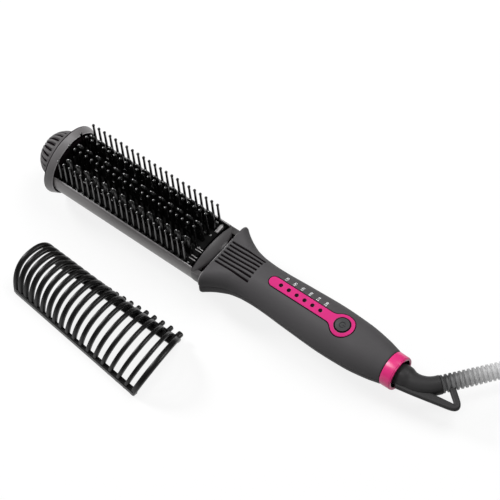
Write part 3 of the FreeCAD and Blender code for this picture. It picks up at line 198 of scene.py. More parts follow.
def roundOutline(corners, radii, steps):
    # an outline whose inner corners are trimmed by their radius and bowed: a quadratic curve at each
    pts = [np.asarray(corners[0], float)]
    for before, here, after, radius in zip(corners, corners[1:], corners[2:], radii):
        b, h, a = (np.asarray(p, float) for p in (before, here, after))
        one, two = b - h, a - h
        trim = min(radius, np.linalg.norm(one) / 2, np.linalg.norm(two) / 2)
        start = h + one / np.linalg.norm(one) * trim
        end = h + two / np.linalg.norm(two) * trim
        t = np.linspace(0, 1, steps)[:, None]
        pts += list((1 - t) ** 2 * start + 2 * t * (1 - t) * h + t * t * end)
    pts.append(np.asarray(corners[-1], float))
    return np.array(pts)


def sweep(path, section, sizes=1.0, steady=(0.0, 0.0, 1.0)):
    # side and up offsets of a section, times its sizes, along a path; its up leans on a steady direction
    path = np.asarray(path, float)
    way = np.gradient(path, axis=0)
    way /= np.linalg.norm(way, axis=1)[:, None]
    side = np.cross(way, np.asarray(steady, float))
    side /= np.linalg.norm(side, axis=1)[:, None]
    up = np.cross(side, way)
    sec = np.asarray(section, float)
    scale = np.broadcast_to(sizes, (len(path), 2))
    return (path[:, None] + side[:, None] * (sec[None, :, :1] * scale[:, None, :1])
            + up[:, None] * (sec[None, :, 1:] * scale[:, None, 1:]))


def ovalSection(wide, tall, sides, power=2.0):
    # superellipse with half sizes wide and tall
    turn = fullTurn(sides)
    c, s = np.cos(turn), np.sin(turn)
    across = wide * np.sign(c) * np.abs(c) ** (2 / power)
    return np.stack([across, tall * np.sign(s) * np.abs(s) ** (2 / power)], -1)


# shared finishes

def newGroup(name, tone, values):
    # node group with a tone and named numbers going in, and colour, roughness and height coming out
    group = bpy.data.node_groups.new(name, "ShaderNodeTree")
    socket = group.interface.new_socket(name="Tone", in_out="INPUT", socket_type="NodeSocketColor")
    socket.default_value = (*tone, 1)
    for label, value in values.items():
        socket = group.interface.new_socket(name=label, in_out="INPUT", socket_type="NodeSocketFloat")
        socket.default_value = value
    for label, kind in (("Color", "Color"), ("Roughness", "Float"), ("Height", "Float")):
        group.interface.new_socket(name=label, in_out="OUTPUT", socket_type="NodeSocket" + kind)
    return group, group.nodes.new("NodeGroupInput"), group.nodes.new("NodeGroupOutput")


def mathNode(tree, operation, first, second):
    # one operation on two values, each a number or a socket
    node = tree.nodes.new("ShaderNodeMath")
    node.operation = operation
    for socket, value in zip(node.inputs, (first, second)):
        if isinstance(value, (int, float)):
            socket.default_value = value
        else:
            tree.links.new(value, socket)
    return node.outputs[0]


def noiseNode(tree, vector, scale, detail):
    # noise from 0 to 1 over the vector; the scale comes from a socket
    node = tree.nodes.new("ShaderNodeTexNoise")
    node.inputs["Detail"].default_value = detail
    tree.links.new(vector, node.inputs["Vector"])
    tree.links.new(scale, node.inputs["Scale"])
    return node.outputs["Fac"]


def tintNode(tree, color, amount):
    # colour times a number
    node = tree.nodes.new("ShaderNodeVectorMath")
    node.operation = "SCALE"
    tree.links.new(color, node.inputs[0])
    tree.links.new(amount, node.inputs["Scale"])
    return node.outputs[0]


def joinGrade(group, inside, out, toneWave, glossWave, height):
    # tone times 1 + wave x drift, gloss + wave x its own drift, and the height as it comes
    shade = mathNode(group, "ADD", mathNode(group, "MULTIPLY", toneWave, inside.outputs["Drift"]), 1.0)
    rough = mathNode(group, "ADD", mathNode(group, "MULTIPLY", glossWave, inside.outputs["GlossDrift"]),
                     inside.outputs["Gloss"])
    group.links.new(tintNode(group, inside.outputs["Tone"], shade), out.inputs["Color"])
    group.links.new(rough, out.inputs["Roughness"])
    group.links.new(height, out.inputs["Height"])


def makeMouldGrain():
    # moulded plastic or rubber: fine pebbled height, broad drift of tone and gloss
    speckShare = 0.6
    group, inside, out = newGroup("mouldGrain", (0.5, 0.5, 0.5), dict(
        Drift=0.12, Gloss=0.5, GlossDrift=0.1, Fine=2600.0, Broad=55.0))
    place = group.nodes.new("ShaderNodeTexCoord").outputs["Object"]
    fine = noiseNode(group, place, inside.outputs["Fine"], 2.0)
    broad = noiseNode(group, place, inside.outputs["Broad"], 3.0)
    swing = mathNode(group, "SUBTRACT", broad, 0.5)
    speck = mathNode(group, "SUBTRACT", fine, 0.5)
    mixed = mathNode(group, "ADD", swing, mathNode(group, "MULTIPLY", speck, speckShare))
    joinGrade(group, inside, out, mixed, swing, fine)
    return group


def makeDrawnLines():
    # drawn or brushed metal: noise drawn out along X, wavering tone and gloss
    group, inside, out = newGroup("drawnLines", (0.6, 0.6, 0.6), dict(
        Drift=0.15, Gloss=0.35, GlossDrift=0.15, Fine=1800.0))
    place = group.nodes.new("ShaderNodeTexCoord").outputs["Object"]
    stretch = group.nodes.new("ShaderNodeMapping")
    stretch.inputs["Scale"].default_value = (0.04, 1.0, 1.0)
    group.links.new(place, stretch.inputs["Vector"])
    streak = noiseNode(group, stretch.outputs[0], inside.outputs["Fine"], 3.0)
    swing = mathNode(group, "SUBTRACT", streak, 0.5)
    joinGrade(group, inside, out, swing, swing, streak)
    return group


mouldGrain = makeMouldGrain()
drawnLines = makeDrawnLines()


def finish(name, group, tone, drift=0.12, gloss=0.5, glossDrift=0.1, fine=2600.0, bump=0.02, metallic=0.0,
           specular=0.28):
    # principled shader fed by a grain group, whose height lifts the surface by bump mm
    mat = bpy.data.materials.new(name)
    mat.use_nodes = True
    tree = mat.node_tree
    shader = tree.nodes["Principled BSDF"]
    shader.inputs["Metallic"].default_value = metallic
    shader.inputs["Specular IOR Level"].default_value = specular
    look = tree.nodes.new("ShaderNodeGroup")
    look.node_tree = group
    values = dict(Tone=(*tone, 1), Drift=drift, Gloss=gloss, GlossDrift=glossDrift, Fine=fine)
    for label, value in values.items():
        look.inputs[label].default_value = value
    relief = tree.nodes.new("ShaderNodeBump")
    relief.inputs["Strength"].default_value = 1.0
    relief.inputs["Distance"].default_value = bump / 1000
    tree.links.new(look.outputs["Color"], shader.inputs["Base Color"])
    tree.links.new(look.outputs["Roughness"], shader.inputs["Roughness"])
    tree.links.new(look.outputs["Height"], relief.inputs["Height"])
    tree.links.new(relief.outputs["Normal"], shader.inputs["Normal"])
    return mat


softCasing = finish("softCasing", mouldGrain, (0.046, 0.0442, 0.0458), gloss=0.46, bump=0.010, fine=3200,
                    specular=0.03)
fluteGrey = finish("fluteGrey", mouldGrain, (0.110, 0.105, 0.107), gloss=0.45, bump=0.008, specular=0.08)
rimGrey = finish("rimGrey", mouldGrain, (0.185, 0.177, 0.180), gloss=0.36, bump=0.008)
collarGrey = finish("collarGrey", mouldGrain, (0.085, 0.081, 0.083), gloss=0.40, bump=0.008)
barrelCoat = finish("barrelCoat", drawnLines, (0.195, 0.187, 0.187), drift=0.10, gloss=0.38, metallic=0.3,
                    bump=0.004)
pinGloss = finish("pinGloss", mouldGrain, (0.003, 0.003, 0.003), gloss=0.22, glossDrift=0.04, bump=0.002,
                  specular=0.5)
bedBlack = finish("bedBlack", mouldGrain, (0.003, 0.003, 0.003), gloss=0.6, bump=0.01, specular=0.08)
toothCoat = finish("toothCoat", mouldGrain, (0.003, 0.003, 0.003), gloss=0.20, glossDrift=0.04, bump=0.002,
                   specular=0.4)
pinkShell = finish("pinkShell", mouldGrain, (0.63, 0.032, 0.200), drift=0.06, gloss=0.46, bump=0.003,
                   specular=0.07)
# pink of the end ring, darker than the panel's: painted shade for the ring's dark lower side; its higher
# gloss is its own finish
pinkRing = finish("pinkRing", mouldGrain, (0.42, 0.018, 0.115), drift=0.06, gloss=0.27, bump=0.003,
                  specular=0.33)
# black for the dark joints, and painted shade for the black pieces laid in shaded recesses, grooves and
# gaps
gapBlack = finish("gapBlack", mouldGrain, (0.004, 0.002, 0.003), gloss=0.8, specular=0.03)
lampDark = finish("lampDark", mouldGrain, (0.012, 0.002, 0.006), gloss=0.2, bump=0.001)
buttonGrey = finish("buttonGrey", mouldGrain, (0.050, 0.050, 0.052), gloss=0.42, bump=0.01)
markPale = finish("markPale", mouldGrain, (0.78, 0.79, 0.80), drift=0.05, gloss=0.55, bump=0.002)
markDark = finish("markDark", mouldGrain, (0.008, 0.008, 0.009), gloss=0.5, bump=0.002)
neckRubber = finish("neckRubber", mouldGrain, (0.024, 0.0235, 0.024), gloss=0.36, bump=0.012,
                    specular=0.06)
sleeveRubber = finish("sleeveRubber", mouldGrain, (0.09, 0.09, 0.092), gloss=0.42, bump=0.015)
cordRubber = finish("cordRubber", mouldGrain, (0.012, 0.012, 0.013), gloss=0.45, bump=0.02)
plugRubber = finish("plugRubber", mouldGrain, (0.016, 0.016, 0.017), gloss=0.42, bump=0.02,
                    specular=0.10)
plugMetal = finish("plugMetal", drawnLines, (0.62, 0.60, 0.56), gloss=0.25, metallic=1.0, bump=0.003)
guardSatin = finish("guardSatin", mouldGrain, (0.0035, 0.0033, 0.0033), gloss=0.34, bump=0.006,
                    specular=0.30)
# light grey for painted highlights: beads along edges that stand for the light those edges catch
edgeGrey = finish("edgeGrey", mouldGrain, (0.30, 0.29, 0.295), gloss=0.35, bump=0.002)
clipSteel = finish("clipSteel", drawnLines, (0.36, 0.35, 0.35), gloss=0.5, metallic=0.5, bump=0.003)
steelZinc = finish("steelZinc", drawnLines, (0.55, 0.56, 0.57), gloss=0.3, metallic=1.0, bump=0.003)
brassTurned = finish("brassTurned", drawnLines, (0.70, 0.48, 0.20), gloss=0.3, metallic=1.0, bump=0.003)
plateMetal = finish("plateMetal", drawnLines, (0.68, 0.68, 0.69), gloss=0.35, metallic=1.0, bump=0.003)
foilBrown = finish("foilBrown", drawnLines, (0.35, 0.22, 0.10), gloss=0.4, metallic=0.6, bump=0.003)
micaSheet = finish("micaSheet", mouldGrain, (0.50, 0.40, 0.22), drift=0.3, gloss=0.4, fine=900, bump=0.01)
boardGreen = finish("boardGreen", mouldGrain, (0.010, 0.12, 0.035), gloss=0.3, bump=0.005)
leadGrey = finish("leadGrey", mouldGrain, (0.40, 0.40, 0.40), gloss=0.5, bump=0.01)


def fadeAlong(mat, start, end, tones):
    # tone blends from the first to the second between two places along X, in metres
    tree = mat.node_tree
    look = next(n for n in tree.nodes if n.type == "GROUP")
    split = tree.nodes.new("ShaderNodeSeparateXYZ")
    tree.links.new(tree.nodes.new("ShaderNodeTexCoord").outputs["Object"], split.inputs[0])
    ramp = tree.nodes.new("ShaderNodeMapRange")
    ramp.inputs["From Min"].default_value, ramp.inputs["From Max"].default_value = start, end
    tree.links.new(split.outputs["X"], ramp.inputs["Value"])
    blend = tree.nodes.new("ShaderNodeMix")
    blend.data_type = "RGBA"
    tree.links.new(ramp.outputs["Result"], blend.inputs[0])
    for socket, tone in zip((blend.inputs[6], blend.inputs[7]), tones):
        socket.default_value = (*tone, 1)
    tree.links.new(blend.outputs[2], look.inputs["Tone"])


print("finishes made:", len(bpy.data.materials))

# pieces that stay as the solids they are get a finish only
for node, look in dict(
    bristle_bed=bedBlack, heater_plate=plateMetal, heating_element=foilBrown,
    insulator_sheet=micaSheet, heater_carrier=micaSheet, thermistor=foilBrown, thermal_fuse=steelZinc,
    circuit_board=boardGreen, board_screws=steelZinc, tip_screws=steelZinc, casing_screws=steelZinc,
    push_switch=bedBlack, indicator_lamps=lampDark, light_guide=lampDark, head_leads=leadGrey,
    mains_leads=leadGrey, swivel_bush=brassTurned,
).items():
    mesh = frame["nodes"][node].data
    mesh.materials.clear()
    mesh.materials.append(look)


# fluted cool tip: a dome and a hollow skirt

# the shade keys size the black rods of painted shade in the flutes
tip = dict(domeRadius=17.8, skirtDepth=5.0, height=20.0, rim=25.6, hollowPlace=0.35, hollowRise=0.36,
           flutes=24, depth=1.5, start=0.24, end=0.96, startRun=(-0.06, 0.10), endRun=0.05,
           grooveWall=(0.16, 0.86), rings=52, perFlute=16, skirtRings=18, backStep=0.5, shadeRise=0.5,
           shadeShort=0.03, shadeRings=24, shadeHalf=0.62, shadeTall=0.45, shadeThin=0.10)


def coolTip(p):
    # half an ellipse turned about the axis, round grooves along its meridians, an arc flaring to the rim
    s = np.linspace(0, 1, p["rings"])
    lean = s * math.pi / 2
    turn = fullTurn(p["flutes"] * p["perFlute"])
    groove = smoothStep(*p["grooveWall"], 0.5 + 0.5 * np.cos(turn * p["flutes"]))
    begin = smoothStep(p["start"] + p["startRun"][0], p["start"] + p["startRun"][1], s)
    reach = begin * (1 - smoothStep(p["end"] - p["endRun"], p["end"], s))
    dig = p["depth"] * reach[:, None] * groove[None]
    dome = p["height"] - p["skirtDepth"]
    radial = (p["domeRadius"] - dig) * np.sin(lean)[:, None]
    along = -p["skirtDepth"] - (dome - dig) * np.cos(lean)[:, None]
    grow = p["rim"] - p["domeRadius"]
    t = np.linspace(0, 1, p["skirtRings"])[1:]
    bend = np.array([p["hollowPlace"] * 2 - 0.5, p["hollowRise"] * 2 - 0.5])
    back = -p["skirtDepth"] * ((1 - t) ** 2 + 2 * t * (1 - t) * bend[0])
    out = p["domeRadius"] + grow * (2 * t * (1 - t) * bend[1] + t * t)
    back = np.concatenate([back, [0.0]])
    out = np.concatenate([out, [p["rim"] - p["backStep"]]])
    along = np.concatenate([along, back[:, None] + 0 * turn])
    radial = np.concatenate([radial, out[:, None] + 0 * turn])
    return brushMesh("coolTip", pointGrid(along, radial * np.cos(turn), radial * np.sin(turn)), 50)


def fluteLiners(p):
    # painted shade: a black rod along the bottom of each flute, where it lies in shade; the rod follows the
    # dome's meridian, sunk a little, thinning at both ends
    clay = Clay()
    s = np.linspace(p["start"], p["end"] - p["shadeShort"], p["shadeRings"])
    lean = s * math.pi / 2
    sunk = p["depth"] - p["shadeRise"]
    along = -p["skirtDepth"] - (p["height"] - p["skirtDepth"] - sunk) * np.cos(lean)
    radial = (p["domeRadius"] - sunk) * np.sin(lean)
    ends = np.sqrt(np.clip(np.minimum(s - s[0], s[-1] - s) / p["shadeThin"], 0.03, 1))
    rod = ovalSection(p["shadeHalf"], p["shadeTall"], 10)
    for n in range(p["flutes"]):
        angle = 2 * math.pi * n / p["flutes"]
        outward = (0.0, math.cos(angle), math.sin(angle))
        path = pointGrid(along, radial * outward[1], radial * outward[2])
        clay.add(fromBrush(sweep(path, rod, ends[:, None], outward)))
    return clay.shape("fluteLiners", 45)


piece("coolTip", coolTip(tip), fluteGrey, "brush", ["cool_tip"])
# black rods of painted shade in the flutes
piece("fluteLiners", fluteLiners(tip), gapBlack, "brush")

# flange behind the tip, sloping down to the barrel

flange = dict(radius=26.0, land=0.8, depth=5.4, front=23.9, lip=23.3, floor=2.0, spigotOut=20.7,
              spigotIn=18.7, spigotEnd=6.5, seamIn=24.8, seamOut=25.6, seamDepth=0.75, seamHalf=(0.5, 0.32),
              seamSlope=0.1, seamStep=0.05, seamRise=0.2, seamRing=(0.05, 0.34), landStart=0.35,
              shadeLayer=0.3, shadeLayerHole=4.0, shadeLayerShort=1.0, shadeLayerSoft=0.1, shadeLayerGap=0.02,
              softs=(0.1, 0.1, 0.1, 0.1, 0.15, 0.4, 0.35, 0.2, 0.4), sides=192)


def tipFlange(p):
    # outline of the cup with soft edges and a seam groove at its rim, turned about the axis
    seam = [(0, p["seamIn"]), (p["seamDepth"], p["seamIn"] + p["seamSlope"]),
            (p["seamDepth"], p["seamOut"] - p["seamStep"]), (p["seamRise"], p["seamOut"] + p["seamStep"])]
    cup = [(p["landStart"], p["radius"]), (p["land"], p["radius"]), (p["depth"], p["front"]),
           (p["depth"], p["lip"]), (p["floor"], p["lip"]), (p["floor"], 0)]
    return brushMesh("tipFlange", lathe(roundOutline([(0, 0), *seam, *cup], p["softs"], 6), p["sides"]))


def flangeSpigot(p):
    # black spigot ring inside the cup, and painted shade: a black layer over the floor and wall of the
    # cup's shaded recess
    low, high = p["floor"] + p["shadeLayerGap"], p["lip"] - p["shadeLayerGap"]
    floor, wall, rim = p["floor"] + p["shadeLayer"], p["lip"] - p["shadeLayer"], p["depth"] - p["shadeLayerShort"]
    corners = [(low, p["shadeLayerHole"]), (low, high), (rim, high), (rim, wall), (floor, wall),
               (floor, p["spigotOut"]), (p["spigotEnd"], p["spigotOut"]), (p["spigotEnd"], p["spigotIn"]),
               (floor, p["spigotIn"]), (floor, p["shadeLayerHole"])]
    prof = roundOutline(corners, [p["shadeLayerSoft"]] * (len(corners) - 2), 3)
    return brushMesh("flangeSpigot", lathe(prof, p["sides"]), along=True)


piece("tipFlange", tipFlange(flange), rimGrey, "brush", ["tip_flange"])
# the spigot ring, with painted shade over the recess
piece("flangeSpigot", flangeSpigot(flange), gapBlack, "brush")


def flangeSeam(p):
    # thin black ring where the tip's skirt meets the flange
    x, sunk = p["seamRing"]
    ring = ovalSection(*p["seamHalf"], 10, 3) + np.array([x, p["radius"] - sunk])
    return brushMesh("flangeSeam", lathe(ring, p["sides"]), 60, along=True)


piece("flangeSeam", flangeSeam(flange), gapBlack, "brush")

# grey barrel, open along its top

barrel = dict(outer=22.4, inner=21.0, edge=7.0, start=2.0, end=128.0, rows=120, lip=6, steps=40, bead=0.28,
              edgeHalf=0.4, edgeLow=0.75, edgeRise=0.05, edgeInset=(4, 0.5), beadInset=(0.2, 0.15))


def barrelShell(p):
    # a thin wall's outline in X and radius, carried round the axis; its thickness rounds off at both lips
    middle = (p["outer"] + p["inner"]) / 2
    half = (p["outer"] - p["inner"]) / 2
    first = math.asin(p["edge"] / p["outer"])
    lipTurn = half / middle
    ease = np.linspace(0, 1, p["lip"])
    ramp = np.sin(ease * math.pi / 2)
    turn = np.concatenate([first - lipTurn * (1 - np.cos(ease * math.pi / 2)),
                           np.linspace(first - lipTurn, -math.pi - first + lipTurn, p["rows"])[1:-1],
                           -math.pi - first + lipTurn * (1 - np.cos(ease[::-1] * math.pi / 2))])
    thick = np.concatenate([ramp, np.ones(p["rows"] - 2), ramp[::-1]])
    along = np.linspace(p["start"], p["end"], p["steps"])
    loopX = np.concatenate([along, along[::-1]])
    loopSide = np.repeat([1.0, -1.0], p["steps"])
    r = middle + half * loopSide[None] * thick[:, None]
    grid = pointGrid(loopX, r * np.cos(turn)[:, None], r * np.sin(turn)[:, None])
    return brushMesh("barrelShell", grid, 40)


piece("barrelShell", barrelShell(barrel), barrelCoat, "brush", ["barrel_shell"])

# ball-tipped pins on their strips, and rounded heated teeth on their blades

bed = dict(halfWidth=20.3, crown=8.5, edge=4.4, base=1.0)
pins = dict(count=23, pitch=5.0, first=10.5,
            rows=((-18.4, 28.4), (-6.15, 32.8), (6.15, 32.8), (18.4, 28.4)), ball=1.1, stemTop=0.80,
            stemFoot=1.0, stem=((1.25, -0.6), (1.25, 0.05), (1.04, 0.6), (1.0, 3.0)), waist=(0.55, 0.45),
            stripHalf=1.1, stripDepth=2.6, stripSoft=0.2, recess=0.15, ballRows=8, sides=12)
teeth = dict(count=14, pitch=8.0, first=14.5, rows=((-12.275, 26.5), (0.0, 30.0), (12.275, 26.5)),
             width=6.2, thick=2.4, root=10.5, rootRun=(-1.5, 1.0), railSoft=0.3, topRows=9, topShare=0.10,
             topThin=0.02, soften=1.6, sides=20, power=3.2)


def bedTop(across):
    # crowned bed: an arc through both edges and the middle
    rise = bed["crown"] - bed["edge"]
    radius = (bed["halfWidth"] ** 2 + rise ** 2) / (2 * rise)
    return bed["crown"] - radius + math.sqrt(radius ** 2 - across ** 2)


def rail(clay, start, end, across, low, high, half, soft):
    # a bar along X with soft edges
    mid, tall = (low + high) / 2, (high - low) / 2
    ring = ovalSection(half, tall, 24, 8)
    xs = np.array([start, start + soft * 0.3, start + soft, end - soft, end - soft * 0.3, end])
    pinch = np.array([soft, soft * 0.3, 0, 0, soft * 0.3, soft])
    clay.add(fromBrush(pointGrid(xs[:, None], across + ring[:, 0] * (1 - pinch / half)[:, None],
                                 mid + ring[:, 1] * (1 - pinch / tall)[:, None])))


def pinRow(p, across, top):
    # stem that thins upwards into a ball: an outline turned about each pin's own axis
    clay = Clay()
    stripTop = bedTop(across) - p["recess"]
    margin = p["pitch"] / 2
    last = p["first"] + (p["count"] - 1) * p["pitch"]
    rail(clay, p["first"] - margin, last + margin, across, stripTop - p["stripDepth"], stripTop,
         p["stripHalf"], p["stripSoft"])
    lean = np.linspace(math.asin(p["stemTop"] / p["ball"]), math.pi, p["ballRows"])
    ball = np.stack([p["ball"] * np.sin(lean), top - p["ball"] * np.cos(lean)], -1)
    foot = p["stemFoot"]
    stem = [(foot * share, stripTop + up) for share, up in p["stem"]]
    stem.append((foot * p["waist"][0] + p["stemTop"] * p["waist"][1], (stripTop + top) / 2))
    outline = np.concatenate([stem, ball])
    for n in range(p["count"]):
        clay.add(fromBrush(upright(outline, p["sides"], p["first"] + n * p["pitch"], across)))
    return clay


def toothRow(p, across, top):
    # plate with a round top: superellipse rings whose width follows a half circle near the top
    clay = Clay()
    half = p["width"] / 2
    last = p["first"] + (p["count"] - 1) * p["pitch"]
    rail(clay, p["first"] - half, last + half, across, bed["base"], p["root"], p["thick"] / 2,
         p["railSoft"])
    shoulder = top - half
    lean = np.linspace(0, math.pi / 2, p["topRows"])[:-1]
    up = np.concatenate([p["root"] + np.array(p["rootRun"]), shoulder + half * np.sin(lean), [top]])
    wide = np.concatenate([[half, half], half * np.cos(lean), [half * p["topShare"]]])
    deep = p["thick"] / 2 * np.sqrt(np.clip((top - up) / p["soften"], p["topThin"], 1))
    unit = ovalSection(1, 1, p["sides"], p["power"])
    for n in range(p["count"]):
        clay.add(fromBrush(pointGrid(p["first"] + n * p["pitch"] + wide[:, None] * unit[:, 0],
                                     across + deep[:, None] * unit[:, 1], up[:, None])))
    return clay


for number, (across, top) in enumerate(pins["rows"], 1):
    mesh = pinRow(pins, across, top).shape(f"pinRow{number}", 40)
    piece(f"pinRow{number}", mesh, pinGloss, "brush", [f"pin_strip_{number}"])
for number, (across, top) in enumerate(teeth["rows"], 1):
    mesh = toothRow(teeth, across, top).shape(f"toothRow{number}", 40)
    piece(f"toothRow{number}", mesh, toothCoat, "brush", [f"heat_comb_{number}"])


def barrelEdges(p):
    # painted highlight: a light grey bead along each lip of the barrel, and a ring of the same on the
    # flange's lip, for the light these edges catch
    clay = Clay()
    lip = np.array([flange["depth"], flange["front"]]) - np.array(p["beadInset"])
    ring = ovalSection(p["bead"], p["bead"], 10) + lip
    clay.add(fromBrush(lathe(ring, flange["sides"])), along=True)
    middle = (p["outer"] + p["inner"]) / 2
    across = middle * math.cos(math.asin(p["edge"] / p["outer"]))
    first, last = p["edgeInset"]
    for side in (-1, 1):
        rail(clay, p["start"] + first, p["end"] - last, side * across, p["edge"] - p["edgeLow"],
             p["edge"] + p["edgeRise"], p["edgeHalf"], p["edgeHalf"] / 2)
    return clay.shape("barrelEdges", 50)


piece("barrelEdges", barrelEdges(barrel), edgeGrey, "brush")
print("head dressed")

# small metal clips that hold the combs and strips at the collar

clips = dict(start=121.2, end=126.4, across=(-15.4, -13.2, -8.6, -6.9), half=0.3, low=0.1, high=0.8,
             soft=0.15, tab=(122.6, 125.0, 13.6, 3.4), tabRun=(1.5, 1.6), tabSoft=0.2)


def combClips(p):
    # four thin bars and one broad tab along X, standing on the bed
    clay = Clay()
    for across in p["across"]:
        ground = bedTop(across)
        rail(clay, p["start"], p["end"], across, ground + p["low"], ground + p["high"], p["half"],
             p["soft"])
    start, end, across, half = p["tab"]
    down, up = p["tabRun"]
    rail(clay, start, end, across, bedTop(across) - down, bedTop(across) + up, half, p["tabSoft"])
    return clay.shape("combClips", 45)


piece("combClips", combClips(clips), clipSteel, "brush")

# collar behind the bristles: a lens-shaped ramp on a ring, a black drum of painted shade in the shaded gap
# behind it, and the guard's catch

collar = dict(radius=22.7, start=128.0, end=136.0, inside=18.5, ringTop=4.4, halfWidth=21.9, crown=11.0,
              side=4.6, bulge=5.6, toe=6.2, toeSide=3.6, foot=1.0, rampSteps=61, ringSteps=120,
              rampShare=(0, 0.06, 0.15, 0.5, 0.85, 0.95, 1.0),
              rampBow=(-0.55, -0.15, 0.05, 0.30, 0.05, -0.12, -0.45),
              begin=3, softs=(0.3, 0.4, 0.4, 0.3), rampFront=0.1, rampRear=0.7, rearPower=0.8,
              bowShare=(0.3, 0.7), core=15.5, coreHole=8.8, coreTop=3.2, coreReach=1.9, coreFront=0.6,
              coreSides=96, coreLean=0.002)
catch = dict(place=(133.6, 5.0, 5.0), half=(2.1, 5.2, 2.0), pole=0.001, rows=10, sides=40)


def rearCollar(p):
    # ring: a closed outline turned from one side round the bottom; ramp: closed sections along Y whose
    # front height, rear reach and rear height swell as 1 - s^2 from the sides to the middle
    clay = Clay()
    begin = (p["start"] + p["begin"], p["inside"])
    corners = [begin, (p["start"], p["inside"]), (p["start"], p["radius"]), (p["end"], p["radius"]),
               (p["end"], p["inside"]), begin]
    prof = roundOutline(corners, p["softs"], 5)[:-1]
    first = math.asin(p["ringTop"] / p["radius"])
    grid = lathe(prof, p["ringSteps"], (first, -math.pi - first))
    clay.add(fromBrush(grid.transpose(1, 0, 2)))
    s = np.linspace(-1, 1, p["rampSteps"])
    swell = 1 - s * s
    front = p["side"] + (p["crown"] - p["side"]) * swell
    rear = p["start"] + p["rampRear"] + p["bulge"] * swell ** p["rearPower"]
    toe = p["toeSide"] + (p["toe"] - p["toeSide"]) * swell
    t, bow = np.array(p["rampShare"]), np.array(p["rampBow"])
    x = p["start"] - p["rampFront"] + (rear - p["start"] + p["rampFront"])[:, None] * t
    z = front[:, None] + (toe - front)[:, None] * t
    z = z + bow * (p["bowShare"][0] + p["bowShare"][1] * swell)[:, None]
    low = np.full((len(s), 1), p["foot"])
    x = np.concatenate([x[:, :1], x, x[:, -1:]], 1)
    z = np.concatenate([low, z, low], 1)
    return clay.add(fromBrush(pointGrid(x, (p["halfWidth"] * s)[:, None], z))).shape("rearCollar", 40)


def collarCore(p):
    # painted shade: a black drum that fills the shaded gap between collar and handle, its top planed flat
    # below the ramp
    front, rear = p["start"] + p["coreFront"], p["end"] + p["coreReach"]
    prof = [(front, p["coreHole"]), (front, p["core"]), (rear, p["core"]), (rear, p["coreHole"])]
    grid = lathe(prof, p["coreSides"])
    grid[..., 2] = np.minimum(grid[..., 2], p["coreTop"] + p["coreLean"] * grid[..., 2])
    return brushMesh("collarCore", grid, 40, along=True)


def guardCatch(p):
    # low half ellipsoid: a half ball stretched to its half sizes
    up = np.linspace(0, math.pi / 2, p["rows"])
    outline = np.stack([np.cos(up) * (1 - p["pole"]) + p["pole"], np.sin(up)], -1)
    ball = upright(outline, p["sides"], 0.0)
    return brushMesh("guardCatch", np.array(p["place"]) + np.array(p["half"]) * ball, 40)


piece("rearCollar", rearCollar(collar), collarGrey, "brush", ["rear_collar"])
piece("collarCore", collarCore(collar), gapBlack, "brush")
piece("guardCatch", guardCatch(catch), collarGrey, "brush", ["guard_catch"])

# handle casing

casing = dict(
    places=(137.6, 143.98, 150.14, 157.01, 166.08, 175.93, 203.92, 231.97, 251.95, 267.96, 279.3),
    widths=(27.4, 22.74, 19.47, 16.93, 15.60, 15.3, 16.62, 17.7, 17.08, 15.05, 12.5),
    heights=(11.8, 12.20, 12.81, 13.71, 14.90, 15.4, 15.73, 16.0, 15.58, 14.22, 12.5),
    rounds=(0.62, 0.68, 0.76, 0.85, 0.93, 0.97, 0.97, 0.97, 0.97, 0.97, 0.97),
    wall=2.2, frontWall=2.4, endWall=3.0, spigot=8.5, bush=7.1,
    grooves=7, groovePitch=3.1, grooveHalf=0.80, grooveDepth=1.5, grooveStart=139.4, grooveEnd=168.2,
    grooveWall=(0.82, 1.04), shadeSunk=0.5, shadeShare=0.86, part=0.35, partRise=0.55, partGap=0.06,
    frontSteps=(0, 0.12, 0.3, 0.6, 0.9, 1.2, 1.5, 1.75, 2.0, 2.3),
    grooveEndSteps=(-1.2, -0.9, -0.6, -0.3, -0.1, 0.1), grooveStep=0.9, gripStep=1.1,
    frontSoft=((0, 0.3, 0.9, 1.5), (1.3, 0.75, 0.25, 0.0)), rearSoft=((-0.8, -0.25, 0), (0, 0.08, 0.3)),
    cornerSteps=20, edgeInset=0.85, edgeLow=2.0, edgeHalf=0.3, grooveRun=(-0.2, 0.5), grooveStop=1.0,
    grooveSpan=(3.2, 1.5), gripSpan=(1.2, 0.5), rearStep=0.25, leastCorner=0.5, topMargin=0.3,
    edgePlace=(0.2, 0.25), edgeClose=0.02,
    grooveShares=(-1.15, -1.0, -0.86, -0.6, 0.0, 0.6, 0.86, 1.0, 1.15),
    shadeEnds=(0.1, 0.35), shadeThin=0.7, shadeTip=0.04, shadeRows=44, shadeSides=12, shadeBoxy=3)


def casingSizes(x):
    # half width, half height and roundness at a place along X, by a smooth curve through the stations
    return tuple(easyCurve(casing["places"], casing[k], x) for k in ("widths", "heights", "rounds"))


def casingTop(x, y):
    # height of the casing over a point: flat in the middle, a round corner towards its side
    wide, tall, share = casingSizes(x)
    corner = np.minimum(wide, tall) * share
    over = np.clip(np.abs(y) - (wide - corner), 0, corner * 0.9999)
    return tall - corner + np.sqrt(corner ** 2 - over ** 2)


def grooveColumns(p):
    # offsets across that fall on the grooves' edges
    near = np.array(p["grooveShares"]) * p["grooveHalf"]
    middle = (np.arange(p["grooves"]) - (p["grooves"] - 1) / 2) * p["groovePitch"]
    return (middle[:, None] + near[None]).reshape(-1), middle


